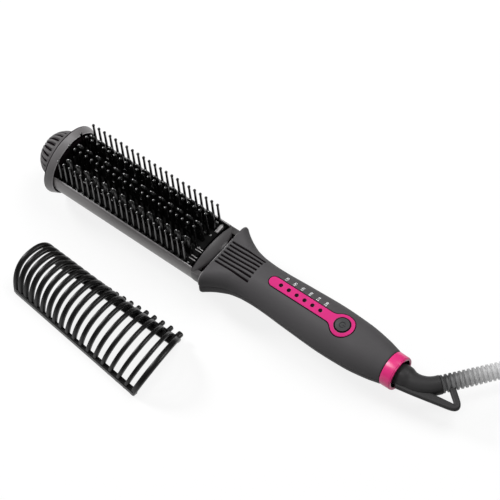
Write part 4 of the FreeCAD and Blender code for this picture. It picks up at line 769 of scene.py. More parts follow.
def halfSection(x, inset, columns, steps):
    # upper half of the section at each place: side, corner and top; the middle columns keep their offset
    wide, tall, share = (v[:, None] for v in casingSizes(x))
    corner = np.minimum(wide, tall) * share
    wide, tall, corner = wide - inset, tall - inset, np.maximum(corner - inset, casing["leastCorner"])
    edge = np.abs(columns).max() + casing["topMargin"]
    over = np.clip(edge - (wide - corner), 0, corner * 0.999)
    startTurn = np.arccos(over / corner)
    turn = startTurn * np.linspace(0, 1, steps)[None]
    cornerY = wide - corner + corner * np.cos(turn)
    cornerZ = tall - corner + corner * np.sin(turn)
    flatStart = np.maximum(edge, wide - corner)
    runY = flatStart + (edge - flatStart) * np.linspace(0, 1, 6)[None, 1:]
    runZ = tall + 0 * runY
    gone = flatStart <= edge + 1e-6
    runZ = np.where(gone, cornerZ[:, -1:], runZ)
    sideZ = (tall - corner) * np.linspace(0, 1, 5)[None, :-1]
    sideY = wide + 0 * sideZ
    rightY = np.concatenate([sideY, cornerY, runY], 1)
    rightZ = np.concatenate([sideZ, cornerZ, runZ], 1)
    over = np.clip(np.abs(columns)[None] - (wide - corner), 0, corner * 0.999)
    topZ = tall - corner + np.sqrt(corner ** 2 - over ** 2)
    topY = columns[::-1][None] + 0 * topZ
    y = np.concatenate([rightY, topY, -rightY[:, ::-1]], 1)
    z = np.concatenate([rightZ, topZ[:, ::-1], rightZ[:, ::-1]], 1)
    return y, z


def casingHalf(p, side, name):
    # outer half sections out and inner ones back make one closed ring per place along X
    columns, middle = grooveColumns(p)
    front, rear, (near, far), (low, high) = p["places"][0], p["places"][-1], p["grooveSpan"], p["gripSpan"]
    xs = np.concatenate([front + np.array(p["frontSteps"]),
                         np.arange(front + near, p["grooveEnd"] - far, p["grooveStep"]),
                         p["grooveEnd"] + np.array(p["grooveEndSteps"]),
                         np.arange(p["grooveEnd"] + low, rear - high, p["gripStep"]),
                         [rear - p["rearStep"], rear]])
    y, z = halfSection(xs, 0.0, columns, p["cornerSteps"])
    soft = np.zeros(len(xs))
    for end, (places, depths) in ((front, p["frontSoft"]), (rear, p["rearSoft"])):
        soft += np.interp(xs, end + np.array(places), depths)
    reach = np.sqrt(y ** 2 + z ** 2)
    shrink = 1 - soft[:, None] / np.maximum(reach, 1)
    y, z = y * shrink, z * shrink
    seam = p["part"] * (1 - smoothStep(0.0, p["partRise"], z))
    y = y - np.sign(y) * seam
    z = np.maximum(z, p["partGap"])
    if side > 0:
        gap = np.abs(y[:, :, None] - middle).min(2)
        cut = 1 - smoothStep(*(p["grooveHalf"] * share for share in p["grooveWall"]), gap)
        run = smoothStep(*(p["grooveStart"] + step for step in p["grooveRun"]), xs)
        run = run * (1 - smoothStep(p["grooveEnd"] - p["grooveStop"], p["grooveEnd"], xs))
        z = z - p["grooveDepth"] * cut * run[:, None]
    outer = pointGrid(xs[:, None], y, z * side)

    innerY, innerZ = halfSection(xs, p["wall"], columns, p["cornerSteps"])
    angle = np.arctan2(innerZ, innerY)
    hole = np.where(xs < front + p["frontWall"], p["spigot"], p["bush"])[:, None]
    closed = ((xs < front + p["frontWall"]) | (xs > rear - p["endWall"]))[:, None]
    innerY = np.where(closed, hole * np.cos(angle), innerY)
    innerZ = np.maximum(np.where(closed, hole * np.sin(angle), innerZ), p["partGap"])
    inner = pointGrid(xs[:, None], innerY, innerZ * side)
    clay = Clay()
    ring = np.concatenate([outer, inner[:, ::-1]], 1)
    clay.add(fromBrush(ring), caps=False)
    count = outer.shape[1]
    for row in (0, len(xs) - 1):
        start = row * 2 * count
        clay.strip(start + np.arange(count), start + 2 * count - 1 - np.arange(count))
    return clay.shape(name, 38)


def grooveLiners(p):
    # painted shade: a dark bar along the bottom of each groove, where it lies in shade, following the
    # casing's height
    clay = Clay()
    _, middle = grooveColumns(p)
    first, last = p["shadeEnds"]
    xs = np.linspace(p["grooveStart"] + first, p["grooveEnd"] - last, p["shadeRows"])
    ends = np.sqrt(np.clip(np.minimum(xs - xs[0], xs[-1] - xs) / p["shadeThin"], p["shadeTip"], 1))
    ring = ovalSection(1, 1, p["shadeSides"], p["shadeBoxy"])
    for across in middle:
        top = casingTop(xs, across) - p["shadeSunk"]
        y = across + ring[:, 0] * p["shadeShare"] * p["grooveHalf"] * ends[:, None]
        z = top[:, None] - p["shadeSunk"] + ring[:, 1] * p["shadeSunk"]
        clay.add(fromBrush(pointGrid(xs[:, None], y, z)))
    return clay.shape("grooveLiners", 45)


# dark bars of painted shade in the grooves
piece("grooveLiners", grooveLiners(casing), gapBlack, "brush")
piece("upperCasing", casingHalf(casing, 1, "upperCasing"), softCasing, "brush", ["upper_casing"])
piece("lowerCasing", casingHalf(casing, -1, "lowerCasing"), softCasing, "brush", ["lower_casing"])


def casingEdge(p):
    # painted highlight along the upper half of the casing's front: a light grey bead for the light its
    # round edge catches, on its section there, drawn in a little
    columns, _ = grooveColumns(p)
    cut, x = (p["places"][0] + step for step in p["edgePlace"])
    y, z = halfSection(np.array([cut]), p["edgeInset"], columns, p["cornerSteps"])
    keep = z[0] > p["edgeLow"]
    path = pointGrid(x, y[0, keep], z[0, keep])
    steps = np.linalg.norm(np.diff(path, axis=0), axis=1)
    path = path[np.concatenate([[True], steps > p["edgeClose"]])]
    bead = ovalSection(p["edgeHalf"], p["edgeHalf"], 10)
    return brushMesh("casingEdge", sweep(path, bead, steady=(1.0, 0.0, 0.0)), 60)


piece("casingEdge", casingEdge(casing), edgeGrey, "brush")
print("casing dressed")

# pink panel with its dark outline, lamp dots, numbers and button

panel = dict(start=179.5, half=3.85, centre=240.4, ring=8.6, hole=6.05, fillet=7.0, proud=0.22, skirt=0.9,
             rowShare=(0, 0, 0.012, 0.03, 0.06, 0.12, 0.3, 0.55, 0.8, 0.93, 1.0, 1.0),
             edgeRise=(0.02, 0.11, 0.155), holeRise=0.12, holeDepth=1.44,
             lineRows=((-0.1, -0.5), (-0.1, 0.10), (0.5, 0.11), (1.0, 0.05), (1.0, -0.5)),
             outline=0.62, lampFirst=188.8, lampPitch=6.64, lampRadius=1.5, lampRise=0.09, lampSunk=0.4,
             labels=("130", "150", "170", "190", "210", "230"), labelAcross=6.7, labelSize=2.55,
             labelWeight=0.012, labelRise=0.05, inkDepth=0.00012, lampPole=0.001, lampRows=6,
             lampSides=24)


def panelOutline(p, grow):
    # round-ended bar, hollow fillet and ring, as points of one half; targets lie on its spine and hole
    half, ring, fillet = p["half"] + grow, p["ring"] + grow, p["fillet"] - grow
    end = p["start"] + p["half"]
    rise = half + fillet
    back = math.sqrt((ring + fillet) ** 2 - rise ** 2)
    filletX = p["centre"] - back
    meet = math.atan2(rise, -back)
    tipTurn = np.linspace(math.pi, math.pi / 2, 14)
    barX = np.linspace(end, filletX, 64)[1:]
    hollow = np.linspace(-math.pi / 2, meet - math.pi, 12)[1:]
    around = np.linspace(meet, 0, 40)[1:]
    x = np.concatenate([end + half * np.cos(tipTurn), barX, filletX + fillet * np.cos(hollow),
                        p["centre"] + ring * np.cos(around)])
    y = np.concatenate([half * np.sin(tipTurn), half + 0 * barX, rise + fillet * np.sin(hollow),
                        ring * np.sin(around)])
    spine = np.concatenate([end + 0 * tipTurn, barX])
    spineEnd = p["centre"] - p["hole"]
    neck = np.linspace(filletX, spineEnd, 7)[1:]
    swing = np.linspace(math.pi, meet, 6)[1:]
    rim = np.concatenate([swing, around])
    tx = np.concatenate([spine, neck, p["centre"] + p["hole"] * np.cos(rim)])
    ty = np.concatenate([0 * spine, 0 * neck, p["hole"] * np.sin(rim)])
    both = lambda v, sign: np.concatenate([v, sign * v[::-1][1:-1]])
    return both(x, 1), both(y, -1), both(tx, 1), both(ty, -1)


def panelBezel(p):
    # rows lead from a sunk skirt over a soft edge to the spine or the button's hole, at the casing's height
    x, y, tx, ty = panelOutline(p, 0.0)
    s = np.array(p["rowShare"])
    rise = np.array([-p["skirt"], *p["edgeRise"], *[p["proud"]] * 6, p["holeRise"], -p["holeDepth"]])
    px = x + (tx - x) * s[:, None]
    py = y + (ty - y) * s[:, None]
    onSpine = np.abs(ty) < 1e-6
    rise = np.where(onSpine[None] & (s[:, None] >= 0.9), p["proud"], rise[:, None])
    grid = pointGrid(px, py, casingTop(px, py) + rise)
    return brushMesh("panelBezel", grid, 45, caps=False)


def panelOutlineStrip(p):
    # a narrow dark line round the bezel: two offset outlines, a hair above the casing
    x, y, _, _ = panelOutline(p, 0.0)
    wx, wy, _, _ = panelOutline(p, p["outline"])
    share, up = np.array(p["lineRows"]).T[..., None]
    px, py = x + (wx - x) * share, y + (wy - y) * share
    grid = pointGrid(px, py, casingTop(px, py) + up)
    return brushMesh("panelLine", grid, 45, caps=False, along=True)


piece("panelBezel", panelBezel(panel), pinkShell, "brush", ["panel_bezel"])
piece("panelLine", panelOutlineStrip(panel), gapBlack, "brush")


def lampDots(p):
    # low domes on the bar's spine, one beside each label
    clay = Clay()
    lean = np.linspace(0, math.pi / 2, p["lampRows"])
    crown = p["lampRadius"] * np.cos(lean) * (1 - p["lampPole"]) + p["lampPole"]
    radius = np.concatenate([[p["lampRadius"]], crown])
    for n in range(len(p["labels"])):
        x = p["lampFirst"] + n * p["lampPitch"]
        ground = float(casingTop(np.array([x]), np.array([0.0]))[0]) + p["proud"]
        height = np.concatenate([[ground - p["lampSunk"]], ground + p["lampRise"] * np.sin(lean)])
        clay.add(fromBrush(upright(np.stack([radius, height], -1), p["lampSides"], x)))
    return clay.shape("lampDots", 45)


piece("lampDots", lampDots(panel), lampDark, "brush")


def lampNumbers(p):
    # flat figures beside the lamps, read across the handle with the head upwards, laid on the casing
    pts, faces, count = [], [], 0
    for n, words in enumerate(p["labels"]):
        curve = bpy.data.curves.new("figures", "FONT")
        curve.body = words
        curve.size = p["labelSize"]
        curve.align_x, curve.align_y = "CENTER", "CENTER"
        curve.offset = p["labelWeight"] * p["labelSize"]
        holder = bpy.data.objects.new("figures", curve)
        flat = bpy.data.meshes.new_from_object(holder)
        xy = np.empty(len(flat.vertices) * 3)
        flat.vertices.foreach_get("co", xy)
        xy = xy.reshape(-1, 3)
        x = p["lampFirst"] + n * p["lampPitch"] - xy[:, 1]
        y = p["labelAcross"] + xy[:, 0]
        pts.append(pointGrid(x, y, casingTop(x, y) + p["labelRise"]))
        faces += [[v + count for v in poly.vertices] for poly in flat.polygons]
        count += len(xy)
        bpy.data.objects.remove(holder)
        bpy.data.curves.remove(curve)
        bpy.data.meshes.remove(flat)
    mesh = bpy.data.meshes.new("lampNumbers")
    mesh.from_pydata(fromBrush(np.concatenate(pts)).tolist(), [], faces)
    return mesh


numbers = piece("lampNumbers", lampNumbers(panel), markPale, "brush")
depth = numbers.modifiers.new("inkDepth", "SOLIDIFY")
depth.thickness, depth.offset = panel["inkDepth"], -1.0

button = dict(centre=240.4, radius=5.65, top=16.35, dish=0.28, flange=6.6, flangeLow=12.9, flangeHigh=13.6,
              softs=(0.2, 0.2, 0.1, 0.5, 0.8, 2.0), brim=(1.0, 0.02), dishHalf=2.5, rimIn=5.05, rimOut=5.72,
              rimDepth=1.2,
              rimCrown=((5.05, 0.012), (5.2, 0.03), (5.55, -0.03), (5.72, -0.25)), markRadius=2.0,
              markGap=40.0, markBar=(0.5, 2.5), markRod=(0.24, 0.12), markRise=0.05, sides=72)


def powerButton(p):
    # flanged cap with a soft rim and a shallow dish, turned about its own axis
    prof = roundOutline([(0, p["flangeLow"]), (p["flange"], p["flangeLow"]), (p["flange"], p["flangeHigh"]),
                         (p["radius"], p["flangeHigh"]), (p["radius"], p["top"]),
                         (p["radius"] - p["brim"][0], p["top"] - p["brim"][1]),
                         (p["dishHalf"], p["top"] - p["dish"]), (0, p["top"] - p["dish"])], p["softs"], 6)
    return brushMesh("powerButton", upright(prof, p["sides"], p["centre"]), 40)


def powerMark(p):
    # open ring and a bar, small round rods laid on the dish
    clay = Clay()
    level = p["top"] - p["dish"] + p["markRise"]
    rod = ovalSection(*p["markRod"], 10)
    turn = np.linspace(math.radians(p["markGap"]), math.radians(360 - p["markGap"]), 40)
    ring = pointGrid(p["centre"] + p["markRadius"] * np.cos(turn), p["markRadius"] * np.sin(turn), level)
    bar = pointGrid(p["centre"] + np.linspace(*p["markBar"], 6), 0.0, level)
    for path in (ring, bar):
        clay.add(fromBrush(sweep(path, rod)))
    return clay.shape("powerMark", 50)


def buttonRim(p):
    # painted shade: a black band round the cap's edge, where its soft edge falls in shade
    low = -p["rimDepth"]
    prof = [(p["rimIn"], low / 2), *p["rimCrown"], (p["rimOut"], low), (p["rimIn"], low)]
    prof = np.array(prof) + np.array([0, p["top"]])
    return brushMesh("buttonRim", upright(prof, p["sides"], p["centre"]), 40, along=True)


piece("powerButton", powerButton(button), buttonGrey, "button", ["power_button"])
piece("buttonRim", buttonRim(button), gapBlack, "button")
piece("powerMark", powerMark(button), markDark, "button")
print("panel dressed")

# pink end ring

endRing = dict(start=279.3, depth=8.7, radius=12.5, mouth=12.35, bore=10.4, floor=2.0, hole=7.1, lip=0.9,
               step=0.3, front=0.35, begin=1.0, softs=(0.2, 0.35, 0.15, 0.06, 0.3, 0.4, 0.3, 0.2),
               seamIn=8.0, seam=((-0.1, -0.25), (0.15, -0.08), (0.45, -0.2)), shadeShort=0.8, shadeWall=0.3,
               shadeGap=0.02, shadeOver=0.05, sides=128)


def endRingShape(p):
    # cup outline with soft lips, turned about the axis as a closed ring
    front, floor, end = (p["start"] + p[k] for k in ("front", "floor", "depth"))
    edge, rim, begin = end - p["lip"], p["mouth"] - p["step"], (p["start"] + p["begin"], p["hole"])
    corners = [begin, (front, p["hole"]), (front, p["radius"]), (edge, p["mouth"]), (edge, rim), (end, rim),
               (end, p["bore"]), (floor, p["bore"]), (floor, p["hole"]), begin]
    prof = roundOutline(corners, p["softs"], 6)
    return brushMesh("endRing", lathe(prof[:-1], p["sides"]), 38, along=True)


def ringSeam(p):
    # dark line between handle and ring: a low crown on an upright band, turned about the axis
    crown = [(p["start"] + x, p["radius"] + rise) for x, rise in p["seam"]]
    prof = [(crown[0][0], p["seamIn"]), *crown, (crown[-1][0], p["seamIn"])]
    return brushMesh("ringSeam", lathe(prof, p["sides"]), 40, along=True)


def ringLiner(p):
    # painted shade: a black sleeve in the ring's shaded mouth, an L of one wall thickness, turned about the
    # axis
    low, high = p["start"] + p["floor"] + p["shadeGap"], p["start"] + p["depth"] - p["shadeShort"]
    inner, outer = p["hole"] + p["shadeWall"], p["bore"] + p["shadeOver"]
    prof = [(low, inner), (low, outer), (high, outer), (high, outer - p["shadeWall"]),
            (low + p["shadeWall"], outer - p["shadeWall"]), (low + p["shadeWall"], inner)]
    return brushMesh("ringLiner", lathe(prof, p["sides"]), 40, along=True)


piece("endRing", endRingShape(endRing), pinkRing, "brush", ["end_ring"])
piece("ringSeam", ringSeam(endRing), gapBlack, "brush")
piece("ringLiner", ringLiner(endRing), gapBlack, "brush")

# swivel neck with its elbow, hanging loop and ribbed sleeve

neck = dict(start=266.5, bendCorner=306.2, turn=51.9, bend=20.0, sleeveOffset=11.7, sides=56,
            places=(0, 3.5, 3.8, 15.1, 15.3, 19.5, 23.5, 26.5, 30.5, 60.0),
            radii=(6.4, 6.4, 5.0, 5.0, 7.0, 7.6, 8.3, 8.1, 7.0, 6.3))
sleeve = dict(length=50.0, ribs=16, perRib=14, ribUp=(0.10, 0.30), ribDown=(0.72, 0.92), crest=6.2,
              root=5.0, taper=0.06, sides=48, fade=(0.160, 0.185),
              fadeTones=((0.040, 0.040, 0.041), (0.68, 0.68, 0.683)))
loop = dict(root=(290.3, -6.8), corner=(335.3, 1.3), end=(320.4, 12.5), trim=7.5, half=2.3, tall=2.1,
            rootGrow=0.55, growRun=(0.05, 0.5), boxy=3.2, sides=28)
turnAway = math.radians(neck["turn"])
away = np.array([math.cos(turnAway), math.sin(turnAway), 0.0])
elbowCorner = np.array([neck["bendCorner"], 0.0, 0.0])


def neckPath(p):
    # straight along the axis, an arc to the side, and straight to the sleeve
    reach = p["bend"] * math.tan(turnAway / 2)
    bendStart = elbowCorner - np.array([reach, 0, 0])
    straight = np.linspace(p["start"], bendStart[0], 60)[:-1]
    first = pointGrid(straight, 0.0, 0.0)
    t = np.linspace(0, turnAway, 28)
    arc = bendStart + pointGrid(p["bend"] * np.sin(t), p["bend"] * (1 - np.cos(t)), 0.0)
    end = elbowCorner + away * (p["sleeveOffset"] + 0.4)
    out = arc[-1] + (end - arc[-1]) * np.linspace(0, 1, 6)[1:, None]
    return np.concatenate([first, arc, out])


def swivelNeck(p):
    # a round section carried along the path, its radius a smooth curve of the way gone
    path = neckPath(p)
    gone = np.concatenate([[0], np.cumsum(np.linalg.norm(np.diff(path, axis=0), axis=1))])
    radius = easyCurve(p["places"], p["radii"], gone)
    grid = sweep(path, ovalSection(1, 1, p["sides"]), radius[:, None])
    return brushMesh("swivelNeck", grid, 40)


def hangLoop(p):
    # flattened bar, broader at its root, from the neck round one soft corner back to the sleeve
    root, corner, end = (np.array([*p[k], 0.0]) for k in ("root", "corner", "end"))
    one, two = root - corner, end - corner
    start = corner + one / np.linalg.norm(one) * p["trim"]
    stop = corner + two / np.linalg.norm(two) * p["trim"]
    t = np.linspace(0, 1, 24)[:, None]
    bend = (1 - t) ** 2 * start + 2 * t * (1 - t) * corner + t * t * stop
    first = root + (start - root) * np.linspace(0, 1, 20)[:-1, None]
    last = stop + (end - stop) * np.linspace(0, 1, 8)[1:, None]
    path = np.concatenate([first, bend, last])
    gone = np.linspace(0, 1, len(path))
    grow = 1 + p["rootGrow"] * (1 - smoothStep(*p["growRun"], gone))
    section = ovalSection(p["half"], p["tall"], p["sides"], p["boxy"])
    grid = sweep(path, section, np.stack([grow, 1 + 0 * grow], -1))
    return brushMesh("hangLoop", grid, 45)


def ribbedSleeve(p):
    # rings whose radius swells once per rib, thinning a little towards the cord
    s = np.linspace(0, 1, p["ribs"] * p["perRib"] + 1)
    wave = (s * p["ribs"]) % 1.0
    swell = smoothStep(*p["ribUp"], wave) * (1 - smoothStep(*p["ribDown"], wave))
    radius = (p["root"] + (p["crest"] - p["root"]) * swell) * (1 - p["taper"] * s)
    begin = elbowCorner + away * neck["sleeveOffset"]
    path = begin + away * (p["length"] * s)[:, None]
    grid = sweep(path, ovalSection(1, 1, p["sides"]), radius[:, None])
    return brushMesh("ribbedSleeve", grid, 45)


piece("swivelNeck", swivelNeck(neck), neckRubber, "cord_end", ["swivel_neck"])
piece("hangLoop", hangLoop(loop), neckRubber, "cord_end", ["hang_loop"])
sleevePiece = piece("ribbedSleeve", ribbedSleeve(sleeve), sleeveRubber, "cord_end", ["ribbed_sleeve"])
fadeAlong(sleeveRubber, *sleeve["fade"], sleeve["fadeTones"])
print("cord end dressed")

# cord with its coil, tie and plug; points in mm on the floor's axes, as in the part's source

cord = dict(
    route=((336.95, 39.35, 17.79), (352.37, 59.02, 17.41), (367.80, 78.70, 4.2), (385.19, 96.65, 4.2)),
    radius=3.0, middle=36.0, wholeTurns=7, spacing=6.8, exitTurn=-90.0, climb=0.5, perTurn=20, tailRun=16.0,
    plugHeight=14.0, length=1.77, order=3, perSpan=4, bevelSteps=5)


def coilPoints(p):
    # spiral in on the floor, climb in the half turn where it reverses, spiral out on top
    last = np.array(p["route"][-1])
    way = last - np.array(p["route"][-2])
    way = way / np.linalg.norm(way)
    turns = p["wholeTurns"] + (math.degrees(math.atan2(way[1], way[0])) - p["exitTurn"]) / 360
    each = (turns - p["climb"]) / 2
    inner = p["middle"] - p["spacing"] * each / 2
    outer = p["middle"] + p["spacing"] * each / 2
    right = np.array([way[1], -way[0], 0])
    centre = last + way * 2 * p["radius"] + right * outer
    begin = math.atan2(-right[1], -right[0])
    turn = np.linspace(0, turns, int(turns * p["perTurn"]))
    over = turn - each
    rising = np.clip(over / p["climb"], 0, 1)
    r = np.where(over <= 0, inner - over * p["spacing"],
                 np.where(over <= p["climb"], inner - p["spacing"] * over * (1 - over / p["climb"]),
                          inner + (over - p["climb"]) * p["spacing"]))
    up = last[2] + p["spacing"] * (1 - np.cos(math.pi * rising)) / 2
    angle = begin - 2 * math.pi * turn
    pts = pointGrid(centre[0] + r * np.cos(angle), centre[1] + r * np.sin(angle), up)
    return pts, centre, inner, outer


coilLine, coilCentre, coilInner, coilOuter = coilPoints(cord)
leaving = np.array([0.0, -1.0, 0.0])
coilExit = coilLine[-1] + leaving * 2 * cord["radius"]
drop = np.array([0, 0, cord["plugHeight"] / 2 - coilExit[2]])
tail = [coilExit + leaving * cord["tailRun"] * n + (drop if n > 1 else 0) for n in range(4)]
cordPoints = fromFloor(np.concatenate([np.array(cord["route"]), coilLine, np.array(tail)]))


def cordCurve(p, points):
    # a quadratic spline that starts and ends on its first and last points, with a round section
    data = bpy.data.curves.new("mainsCord", "CURVE")
    data.dimensions = "3D"
    line = data.splines.new("NURBS")
    line.points.add(len(points) - 1)
    line.points.foreach_set("co", np.concatenate([points, np.ones((len(points), 1))], 1).reshape(-1))
    line.order_u = p["order"]
    line.use_endpoint_u = True
    line.resolution_u = p["perSpan"]
    data.bevel_depth = p["radius"] / 1000
    data.bevel_resolution = p["bevelSteps"]
    data.use_fill_caps = True
    return data


flex = newObject("mainsCord", cordCurve(cord, cordPoints))
flex.data.materials.append(cordRubber)
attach(flex, "cord_end")
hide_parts("cord_tube", "cord_coil", "cord_tail")

tie = dict(width=12.0, wall=0.8, gap=0.4, boxy=7.0, bevel=0.03, sides=120)


def cordTie(p):
    # flat strap bent round the bundle of turns: a rounded oblong of wall thickness, carried along X
    base = cord["route"][-1][2]
    low = base - cord["radius"] - p["gap"]
    high = base + cord["spacing"] + cord["radius"] + p["gap"]
    near = -(coilInner - cord["radius"] - p["gap"] - cord["spacing"] / 2) + p["wall"]
    far = -(coilOuter + cord["radius"] + p["gap"]) - p["wall"]
    low, high = low - p["wall"], high + p["wall"]
    midY, midZ = (near + far) / 2, (low + high) / 2
    wide, tall = (near - far) / 2, (high - low) / 2
    outside = ovalSection(wide, tall, p["sides"], p["boxy"])
    inside = ovalSection(wide - p["wall"], tall - p["wall"], p["sides"], p["boxy"])
    rows = []
    edge = 0.5 - p["bevel"]
    for across, ring in ((-0.5, outside), (-edge, outside), (edge, outside), (0.5, outside), (0.5, inside),
                         (-0.5, inside)):
        rows.append(pointGrid(coilCentre[0] + across * p["width"], coilCentre[1] + midY + ring[:, 0],
                              midZ + ring[:, 1]))
    return Clay().add(fromFloor(np.array(rows)), along=True).shape("cordTie", 40)


plug = dict(length=36.0, width=30.0, neck=12.0, height=14.0, neckShare=0.80, boxy=(2.4, 2.2), sides=48,
            stations=(0, 0.01, 0.04, 0.10, 0.2, 0.32, 0.45, 0.58, 0.7, 0.82, 0.92, 0.96, 0.985, 1.0),
            softs=(0.80, 0.92, *[1] * 9, 0.99, 0.96, 0.90), widen=(0.02, 0.6), heighten=(0.0, 0.4),
            pinRadius=2.0, pinLength=19.0, pinSpacing=19.0, pinDome=1.6, pinTip=0.15, pinSides=32,
            pinStations=(-0.5, 0.0, 9.0))


def plugBody(p):
    # superellipse sections from a round neck to a broad flat front
    back = np.array(tail[-1])
    s = np.array(p["stations"])
    wide = (p["neck"] + (p["width"] - p["neck"]) * smoothStep(*p["widen"], s)) / 2
    tall = p["height"] / 2 * (p["neckShare"] + (1 - p["neckShare"]) * smoothStep(*p["heighten"], s))
    rows = []
    for share, w, t, soft in zip(s, wide, tall, p["softs"]):
        ring = ovalSection(w * soft, t * soft, p["sides"], p["boxy"][0] + p["boxy"][1] * share)
        rows.append(pointGrid(back[0] + ring[:, 0], back[1] - p["length"] * share, back[2] + ring[:, 1]))
    return Clay().add(fromFloor(np.array(rows))).shape("plugBody", 40)


def plugPins(p):
    # round pins with domed tips
    clay = Clay()
    front = np.array(tail[-1]) + leaving * p["length"]
    lean = np.linspace(0, math.pi / 2, 6)
    run = np.concatenate([p["pinStations"], p["pinLength"] - p["pinDome"] + p["pinDome"] * np.sin(lean)])
    dome = p["pinTip"] + (1 - p["pinTip"]) * np.cos(lean)
    r = p["pinRadius"] * np.concatenate([np.ones(len(p["pinStations"])), dome])
    turn = fullTurn(p["pinSides"])
    for side in (-0.5, 0.5):
        clay.add(fromFloor(pointGrid(front[0] + side * p["pinSpacing"] + r[:, None] * np.cos(turn),
                                     front[1] - run[:, None], front[2] + r[:, None] * np.sin(turn))))
    return clay.shape("plugPins", 40)


tiePiece = piece("cordTie", cordTie(tie), plugRubber, "cord_end", ["cord_tie"])
plugPiece = piece("plugBody", plugBody(plug), plugRubber, "cord_end", ["plug_body"])
pinPiece = piece("plugPins", plugPins(plug), plugMetal, "cord_end", ["plug_pins"])
print("cord laid")

# comb guard lying beside the brush

guard = dict(length=124.3, tipWidth=40.2, rearWidth=52.6, tipSkew=1.8, rearSkew=-8.9, tipHeight=24.6,
             rearHeight=23.0, tipLean=4.0, rearLean=9.3, ribs=19, tipRib=3.7, rearRib=2.7, endRib=4.2,
             ribThick=3.0, tipStart=3.4, tipRise=-5.5, railStart=4.6, nearInset=1.45, railTip=2.4,
             railRear=4.2, railHeight=5.0, footTip=6.2, footRear=8.0, footHeight=2.4, growth=0.25,
             place=(23.5, -94.6), yaw=-7.07, tooth=1.8, toothLow=4.4, toothHigh=7.6,
             toothPinch=(1, 1, 1, 0.82, 0.45), boxy=2.4,
             barPlaces=(0, 0.004, 0.012, 0.25, 0.5, 0.75, 0.988, 0.996, 1.0),
             barPinch=(0.85, 0.95, 1, 1, 1, 1, 1, 0.95, 0.85), barSides=28, barBoxy=7, floorGap=0.02,
             ribEnd=0.02, ribRows=56, ribSides=20, ribBoxy=4.0, toothGrow=(0.4, 1.0), toothSoft=(0.9, 0.3))


def guardPlace(points):
    # guard's own axes to the floor: yaw about Z, then its place
    x, y, z = np.moveaxis(points, -1, 0)
    c, s = math.cos(math.radians(guard["yaw"])), math.sin(math.radians(guard["yaw"]))
    return fromFloor(pointGrid(x * c - y * s + guard["place"][0], x * s + y * c + guard["place"][1], z))


def guardRib(p, reach):
    # near foot, far foot, rise and width of the rib at a share of the length, each a straight blend
    blend = lambda one, two: p[one] + reach * (p[two] - p[one])
    along = p["tipStart"] + reach * (p["length"] - p["rearRib"] - p["tipStart"])
    near = np.array([along, 0, 0])
    far = np.array([along + blend("tipSkew", "rearSkew"), blend("tipWidth", "rearWidth"), 0])
    rise = np.array([blend("tipRise", "rearLean"), (1 - reach) * p["tipLean"],
                     blend("tipHeight", "rearHeight")])
    return near, far, rise, blend("tipRib", "rearRib")


def combGuard(p):
    # ribs are half superellipses from foot to foot with a soft oblong section; the rest are soft bars
    clay = Clay()
    half = p["ribThick"] / 2
    turn = np.linspace(p["ribEnd"], math.pi - p["ribEnd"], p["ribRows"])
    unit = ovalSection(1, 1, p["ribSides"], p["ribBoxy"])
    east = np.array([1.0, 0, 0])
    for n in range(p["ribs"]):
        share = n / (p["ribs"] - 1)
        near, far, rise, wide = guardRib(p, share * (1 - p["growth"]) + p["growth"] * share ** 2)
        wide = p["endRib"] if n == p["ribs"] - 1 else wide
        way = (far - near) / np.linalg.norm(far - near)
        inset = p["railTip"] / 3 + half
        lower = rise * (1 - half / rise[2])
        start, stop = near + way * p["nearInset"], far - way * inset
        middle, spread = (start + stop) / 2, (stop - start) / 2
        power = 2 / (p["boxy"] + (2.0 - p["boxy"]) * share)
        c, s = np.sign(np.cos(turn)) * np.abs(np.cos(turn)) ** power, np.sin(turn) ** power
        edge = east * (p["rearRib"] - wide if n == p["ribs"] - 1 else 0)
        path = middle - spread * c[:, None] + lower * s[:, None] + east * wide / 2 + edge
        flow = np.gradient(path, axis=0)
        flow /= np.linalg.norm(flow, axis=1)[:, None]
        out = np.cross(east, flow)
        out /= np.linalg.norm(out, axis=1)[:, None]
        grid = path[:, None] + east * (unit[:, :1] * wide / 2) + out[:, None] * (unit[:, 1:] * half)[None]
        grid[..., 2] = np.maximum(grid[..., 2], p["floorGap"])
        clay.add(guardPlace(grid))
        out = p["tooth"] * smoothStep(*p["toothGrow"], share)
        ys = far[1] + np.array([-half * 2, -half, *(out - soft for soft in p["toothSoft"]), out])
        pinch = np.array(p["toothPinch"])
        tall = (p["toothHigh"] - p["toothLow"]) / 2
        x = far[0] + wide / 2 + unit[:, 0] * wide / 2 * pinch[:, None]
        z = p["toothLow"] + tall + unit[:, 1] * tall * pinch[:, None]
        clay.add(guardPlace(pointGrid(x, ys[:, None], z)))
    first, last = guardRib(p, 0)[1], guardRib(p, 1)[1] + east * p["rearRib"]
    ring = ovalSection(0.5, 0.5, p["barSides"], p["barBoxy"])
    t, pinch = np.array(p["barPlaces"]), np.array(p["barPinch"])
    bars = ((east * p["railStart"], east * p["length"], p["railTip"], p["railRear"], p["railHeight"], 0.5),
            (first, last, p["footTip"], p["footRear"], p["footHeight"], -0.5))
    for start, end, broad, broadEnd, tall, side in bars:
        line = start + (end - start) * t[:, None]
        width = broad + (broadEnd - broad) * t
        y = line[:, 1:2] + (side * width)[:, None] + ring[:, 0] * (width * pinch)[:, None]
        z = tall / 2 + ring[:, 1] * (tall * pinch)[:, None]
        clay.add(guardPlace(pointGrid(line[:, :1], y, z)))
    return clay.shape("combGuard", 42)


piece("combGuard", combGuard(guard), guardSatin, "guard", ["comb_guard"])
print("guard dressed")

# floor, light and camera

